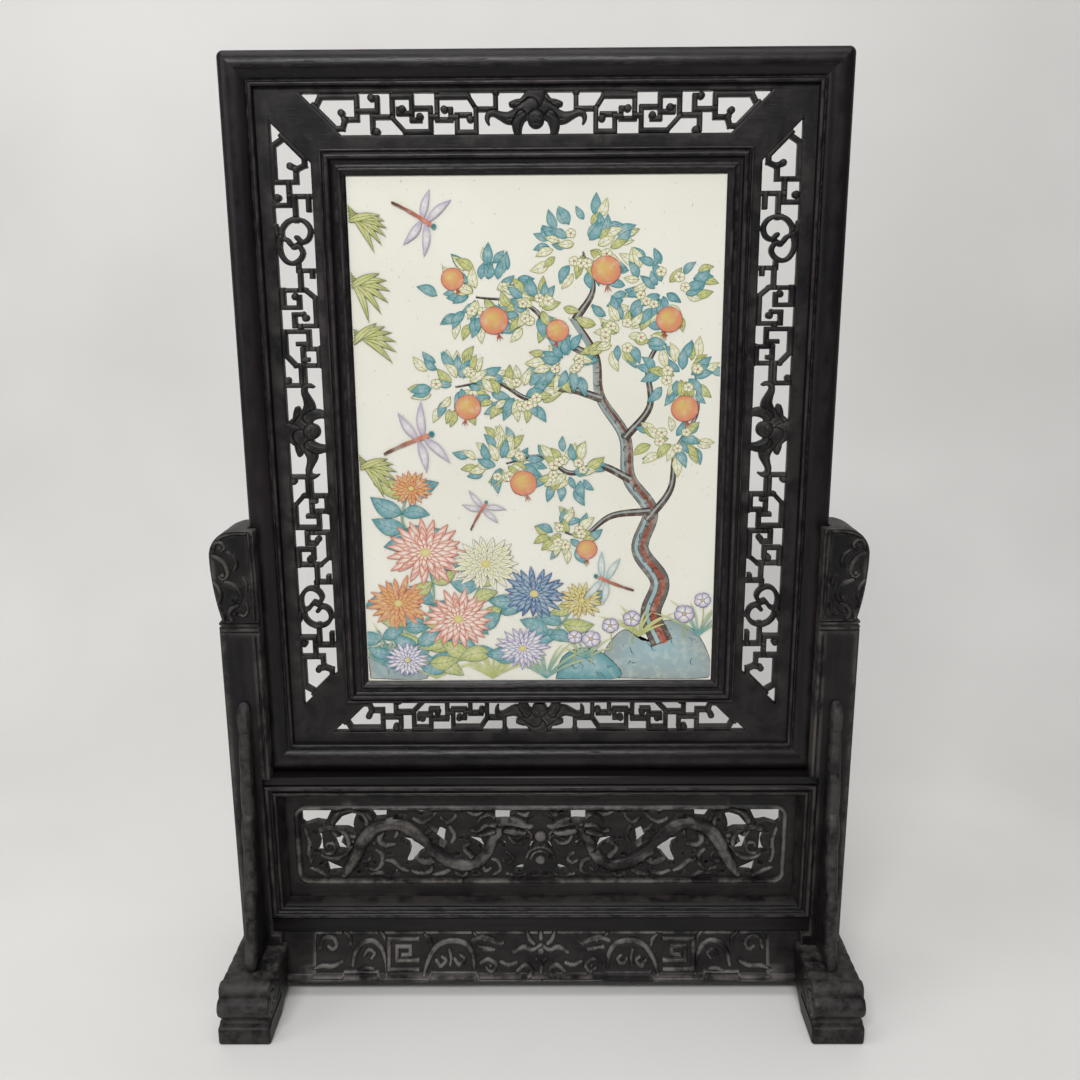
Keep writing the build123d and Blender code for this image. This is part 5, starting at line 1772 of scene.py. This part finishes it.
def stone(paint, points, tint="grey", seed=5):
    """A weathered stone with a shaded side and short strokes that follow it."""
    ring = smooth_line(np.asarray(points + points[:1], float), 5)[:-1]
    middle = ring.mean(0)
    paint.fan(ring, middle + [0, 3], tint, "sky")
    paint.outline(ring, 0.32, "ink")
    rng = np.random.default_rng(seed)
    for _ in range(9):
        start = middle + (ring[rng.integers(len(ring))] - middle) * rng.uniform(0.3, 0.85)
        stroke = start + np.cumsum(rng.normal(0, 1.6, (5, 2)) + [1.2, -0.9], 0)
        paint.ribbon(stroke, [0.1, 0.35, 0.4, 0.3, 0.08], "deep")


def make_plaque():
    """Glazed slab with eased edges, and its painting of a fruit tree over autumn flowers."""
    low, high = plaque_low, plaque_high
    points, faces, _ = eased_box(low, high, 0.6)
    piece("looks_porcelain_plaque", "screen", points, faces, porcelain, "x",
          stands_for="porcelain_plaque")
    paint = Painting(low[1])
    stone(paint, [(52, -203), (56, -178), (72, -160), (90, -170), (106, -152), (130, -160), (144, -184),
                  (144, -203)])
    stone(paint, [(14, -204), (20, -184), (38, -176), (58, -184), (68, -203)], "teal", 8)
    stone(paint, [(-144, -203), (-144, -180), (-126, -172), (-106, -182), (-96, -203)], "grey", 9)
    trunk = smooth_line([(104, -172), (94, -146), (101, -118), (84, -90), (92, -58), (74, -30), (70, 4),
                         (50, 36), (46, 68), (28, 98)], 9)
    paint.ribbon(trunk, np.linspace(9.6, 2.4, len(trunk)), "ink")
    paint.ribbon(trunk, np.linspace(9.0, 2.0, len(trunk)), "bark", "grey")
    paint.ribbon(trunk + [2.2, 0], np.linspace(2.6, 0.5, len(trunk)), "rust", "bark")
    paint.ribbon(trunk - [3.2, 0], np.linspace(1.7, 0.4, len(trunk)), "sky", "grey")
    rng = np.random.default_rng(31)
    for spot in trunk[3:-8:3]:
        turn = rng.uniform(0, 6.28)
        t = np.linspace(0, 4.6, 10)
        curl = spot + np.stack([np.cos(t + turn), np.sin(t + turn)], 1) * np.linspace(3.2, 1.0, 10)[:, None]
        paint.ribbon(curl, 0.32, "ink")
    boughs = [
        [(89, -66), (108, -40), (112, -8), (128, 22), (126, 52)],
        [(76, -32), (50, -20), (26, -26), (2, -12), (-26, -18)],
        [(70, 2), (90, 28), (88, 60), (100, 88), (94, 116)],
        [(52, 34), (22, 42), (-6, 34), (-34, 48), (-66, 44)],
        [(46, 66), (18, 82), (-8, 108), (-48, 114)],
        [(30, 96), (44, 120), (36, 148)],
        [(92, -58), (60, -62), (38, -78), (22, -76)],
    ]
    for rows in boughs:
        line = smooth_line(rows, 9)
        paint.ribbon(line, np.linspace(3.4, 0.8, len(line)), "ink")
        paint.ribbon(line, np.linspace(3.0, 0.5, len(line)), "bark", "bark")
        paint.ribbon(line + [0, 0.8], np.linspace(0.9, 0.2, len(line)), "grey")
    clusters = [
        ((116, 52), 25, 34, 11), ((110, 2), 22, 26, 12), ((98, 120), 33, 52, 13), ((38, 152), 33, 52, 14),
        ((68, 84), 26, 34, 15), ((-44, 116), 35, 54, 16), ((0, 104), 24, 30, 17), ((-64, 46), 31, 48, 18),
        ((-14, 38), 25, 34, 19), ((-28, -18), 29, 44, 20), ((24, -24), 23, 30, 21), ((22, 64), 21, 26, 22),
        ((24, -78), 21, 26, 23),
    ]
    for centre, radius, count, seed in clusters:
        leaf_cluster(paint, np.array(centre, float), radius, count, seed, ("teal", "teal", "green", "lime"),
                     15.5, 6)
    for centre, radius, turn in (((118, 26), 11, 0.2), ((104, 96), 10.4, -0.3), ((54, 134), 11.6, 0.1),
                                 ((-34, 96), 11.2, 0.3),
                                 ((-56, 28), 10.4, -0.2), ((-12, -34), 10.8, 0.25), ((16, 88), 9,
                                                                                     -0.1), ((-66, 128), 9,
                                                                                             0.4),
                                 ((40, -90), 8.6, 0.0)):
        paint.fruit(centre, radius, "coral", "gold", turn)
    for k, (x, z, count, length) in enumerate((
            (-132, -190, 11, 52), (-88, -203, 9, 38), (6, -203, 11, 46), (84, -166, 9, 36), (134, -166, 9,
                                                                                             42),
            (-40, -203, 11, 40), (40, -186, 7, 32))):
        tuft(paint, (x, z), count, length, 40 + k, "green" if k % 2 else "teal")
    stems = [
        [(-92, -200), (-98, -164), (-88, -128), (-96, -88)], [(-92, -200), (-72, -160), (-52, -128),
                                                              (-48, -98)],
        [(-98, -180), (-118, -150), (-124, -118)], [(-72, -160), (-40, -150), (-10, -128)],
        [(-84, -190), (-50, -182), (-12, -176)], [(-96, -90), (-112, -66), (-106, -38)],
        [(-84, -190), (-120, -186), (-136, -160)], [(-12, -176), (14, -160), (34, -132)],
    ]
    for rows in stems:
        line = smooth_line(rows, 9)
        paint.ribbon(line, np.linspace(1.7, 0.8, len(line)), "green", "teal")
    rng = np.random.default_rng(77)
    for rows in stems:
        line = smooth_line(rows, 4)
        for spot in line[1::2]:
            for side in (1, -1):
                angle = rng.uniform(-30, 40) if side > 0 else rng.uniform(140, 210)
                long = rng.uniform(21, 30)
                kind = "teal" if rng.random() < 0.65 else "green"
                paint.leaf(spot, angle, long, long * 0.5, kind, "sky" if kind == "teal" else "lime", "deep",
                           4,
                           rng.uniform(-0.1, 0.15), 0.18)
    paint.mum((-94, -92), 33, "coral", "white", "rust", 1, 5)
    paint.mum((-44, -102), 28, "white", "lime", "bark", 2, 5)
    paint.mum((-118, -136), 26, "coral", "gold", "rust", 3)
    paint.mum((-4, -128), 26, "cobalt", "sky", "ink", 4)
    paint.mum((-68, -150), 30, "coral", "white", "rust", 5, 5)
    paint.mum((-14, -176), 22, "lilac", "white", "cobalt", 6)
    paint.mum((-104, -38), 17, "coral", "gold", "rust", 7, 3)
    paint.mum((36, -134), 18, "gold", "lime", "bark", 8, 3)
    paint.mum((-112, -186), 18, "lilac", "white", "cobalt", 9, 3)
    for x, z, r in ((44, -168, 8), (60, -156, 7), (30, -166, 6.4), (78, -150, 7.4), (122, -146, 8.4),
                    (137, -134, 7)):
        paint.ribbon(smooth_line([(x, z - 22), (x + 1, z - 10), (x, z)], 4), 0.5, "green")
        paint.flower((x, z), r, 5, "lilac", "white", "gold", "cobalt", x * 0.1, 0.9, 0.2)
    bamboo = [((-147, 178), (-60, 10)), ((-147, 128), (-70, 25)), ((-147, 84), (-40, 40)),
              ((-147, -16), (-60, 20))]
    for k, (spot, angles) in enumerate(bamboo):
        for j in range(6):
            angle = angles[0] + (angles[1] - angles[0]) * j / 5
            paint.leaf(np.array(spot) + [0, -2.5 * j + 6], angle, 42 - 3 * j, 5.6, "green", "lime", "bark",
                       0, 0.05, 0.16)
    dragonfly(paint, np.array([-96.0, 2.0]), 24, 30)
    dragonfly(paint, np.array([-88.0, 172.0]), -28, 26)
    dragonfly(paint, np.array([56.0, -116.0]), 160, 24, "sky")
    dragonfly(paint, np.array([-46.0, -56.0]), 62, 19)
    points = np.concatenate(paint.points) + [0, 0, (plaque_low[2] + plaque_high[2]) / 2]
    points[:, 0] = np.clip(points[:, 0], -sight[0] + 0.6, sight[0] - 0.6)
    points[:, 2] = np.clip(points[:, 2], sight[1] + 0.6, sight[2] - 0.6)
    item = piece("looks_enamels", "screen", points,
                 [np.concatenate(paint.faces), np.concatenate(paint.tips)], enamel, "x")
    tint = item.data.attributes.new("tint", "FLOAT_COLOR", "POINT")
    colours = np.concatenate([np.concatenate(paint.tints), np.ones((paint.total, 1))], 1)
    tint.data.foreach_set("color", colours.ravel())


def enamel_material():
    """Glossy enamel in the colour of its tint attribute, thinner and paler in places."""
    material, tree, shader = tree_of("painted_enamel")
    tint = add(tree, "ShaderNodeAttribute", attribute_name="tint")
    place = tree.nodes.new("ShaderNodeTexCoord")
    cloud = noise(tree, place.outputs["Object"], 160.0, 4.0, 0.6)
    thin = maths(tree, "MULTIPLY", ramp(tree, cloud, 0.45, 0.75), 0.3)
    tone = mix_colour(tree, thin, tint.outputs["Color"], (0.72, 0.7, 0.58, 1))
    join(tree, (tone, shader.inputs["Base Color"]))
    shader.inputs["Roughness"].default_value = 0.24
    return material


def make_backing():
    """Plain board and four quarter-round beads behind the plaque."""
    low, high = node_box("back_board")
    points, faces, _ = eased_box(low, high, 0.5)
    piece("looks_back_board", "screen", points, faces, backing, "z",
          stands_for="back_board")
    lip = rebate + slack
    rect = (sight[0] + lip, sight[1] - lip, sight[2] + lip)
    y = high[1]
    profile = outline(
        [(0, y + 3), (0, y + 0.02), (7, y + 0.02)], through((7, y + 0.02), (4.9, y + 2.25), (2.5, y + 3), 8)
    )
    for side in SIDES:
        swept(f"looks_back_bead_{side}", "screen", side, rect, profile, frame_wood, f"back_bead_{side}", 15)


def make_stage():
    """A pale floor that curves up into a backdrop, which a camera behind it sees through."""
    floor_y, wall_y, bend = -4500.0, 900.0, 500.0
    profile = np.concatenate([
        np.array([(floor_y, 0.0), (0.0, 0.0)]),
        arc((wall_y - bend, bend), bend, -90, 0, 17),
        np.array([(wall_y, 2600.0)]),
    ])
    across = np.linspace(-4500, 4500, 3)
    grid = np.zeros((len(across), len(profile), 3))
    grid[:, :, 0] = across[:, None]
    grid[:, :, 1] = profile[None, :, 0]
    grid[:, :, 2] = profile[None, :, 1]
    mesh = bpy.data.meshes.new("floor")
    index = np.arange(grid.shape[0] * grid.shape[1]).reshape(grid.shape[:2])
    quads = np.stack([index[:-1, :-1], index[1:, :-1], index[1:, 1:], index[:-1, 1:]], 2).reshape(-1, 4)
    mesh.from_pydata((grid.reshape(-1, 3) * MM).tolist(), [], quads.tolist())
    mesh.shade_smooth()
    floor = bpy.data.objects.new("floor", mesh)
    bpy.context.scene.collection.objects.link(floor)
    material, tree, shader = tree_of("pale_cloth")
    place = tree.nodes.new("ShaderNodeTexCoord")
    cloud = noise(tree, place.outputs["Object"], 2.2, 3.0, 0.5)
    tone = mix_colour(tree, ramp(tree, cloud, 0.3, 0.7), (0.7, 0.69, 0.67, 1), (0.76, 0.75, 0.73, 1))
    join(tree, (tone, shader.inputs["Base Color"]))
    shader.inputs["Roughness"].default_value = 0.9
    behind = tree.nodes.new("ShaderNodeNewGeometry")
    clear = tree.nodes.new("ShaderNodeBsdfTransparent")
    either = tree.nodes.new("ShaderNodeMixShader")
    join(
        tree,
        (behind.outputs["Backfacing"], either.inputs[0]),
        (shader.outputs[0], either.inputs[1]),
        (clear.outputs[0], either.inputs[2]),
        (either.outputs[0], tree.nodes["Material Output"].inputs["Surface"]),
    )
    mesh.materials.append(material)


def area_lamp(name, place, target, width, height, power):
    """A rectangular lamp at a place, turned towards its target."""
    lamp = bpy.data.lights.new(name, "AREA")
    lamp.shape = "RECTANGLE"
    lamp.size = width
    lamp.size_y = height
    lamp.energy = power
    item = bpy.data.objects.new(name, lamp)
    bpy.context.scene.collection.objects.link(item)
    way = np.array(target, float) - np.array(place, float)
    flat = math.hypot(way[0], way[1])
    item.location = place
    item.rotation_euler = (math.atan2(flat, -way[2]), 0, math.atan2(way[1], way[0]) - math.pi / 2)


def make_lights():
    """A broad soft light above and in front, a weaker one from the left, and a pale world."""
    area_lamp("overhead", (-0.1, -0.3, 2.3), (0, 0.1, 0.35), 1.8, 0.9, 14.5)
    area_lamp("front_high", (-0.25, -1.9, 2.0), (0, 0, 0.5), 1.3, 0.36, 42.0)
    area_lamp("left_fill", (-1.9, -0.9, 1.1), (0, 0, 0.4), 1.0, 1.4, 8.0)
    world = bpy.data.worlds.new("world")
    bpy.context.scene.world = world
    world.use_nodes = True
    world.node_tree.nodes["Background"].inputs["Color"].default_value = (0.95, 0.97, 1.0, 1)
    world.node_tree.nodes["Background"].inputs["Strength"].default_value = 0.19


bpy.context.scene.view_settings.view_transform = "Standard"
make_camera()
make_lights()
make_stage()
make_frame()
make_moulding()
for side in SIDES:
    fret_board(side)
make_posts()
make_feet()
make_brackets()
make_waist()
make_panel()
make_apron(True)
make_apron(False)
porcelain = porcelain_material()
enamel = enamel_material()
backing = backing_material()
make_plaque()
make_backing()
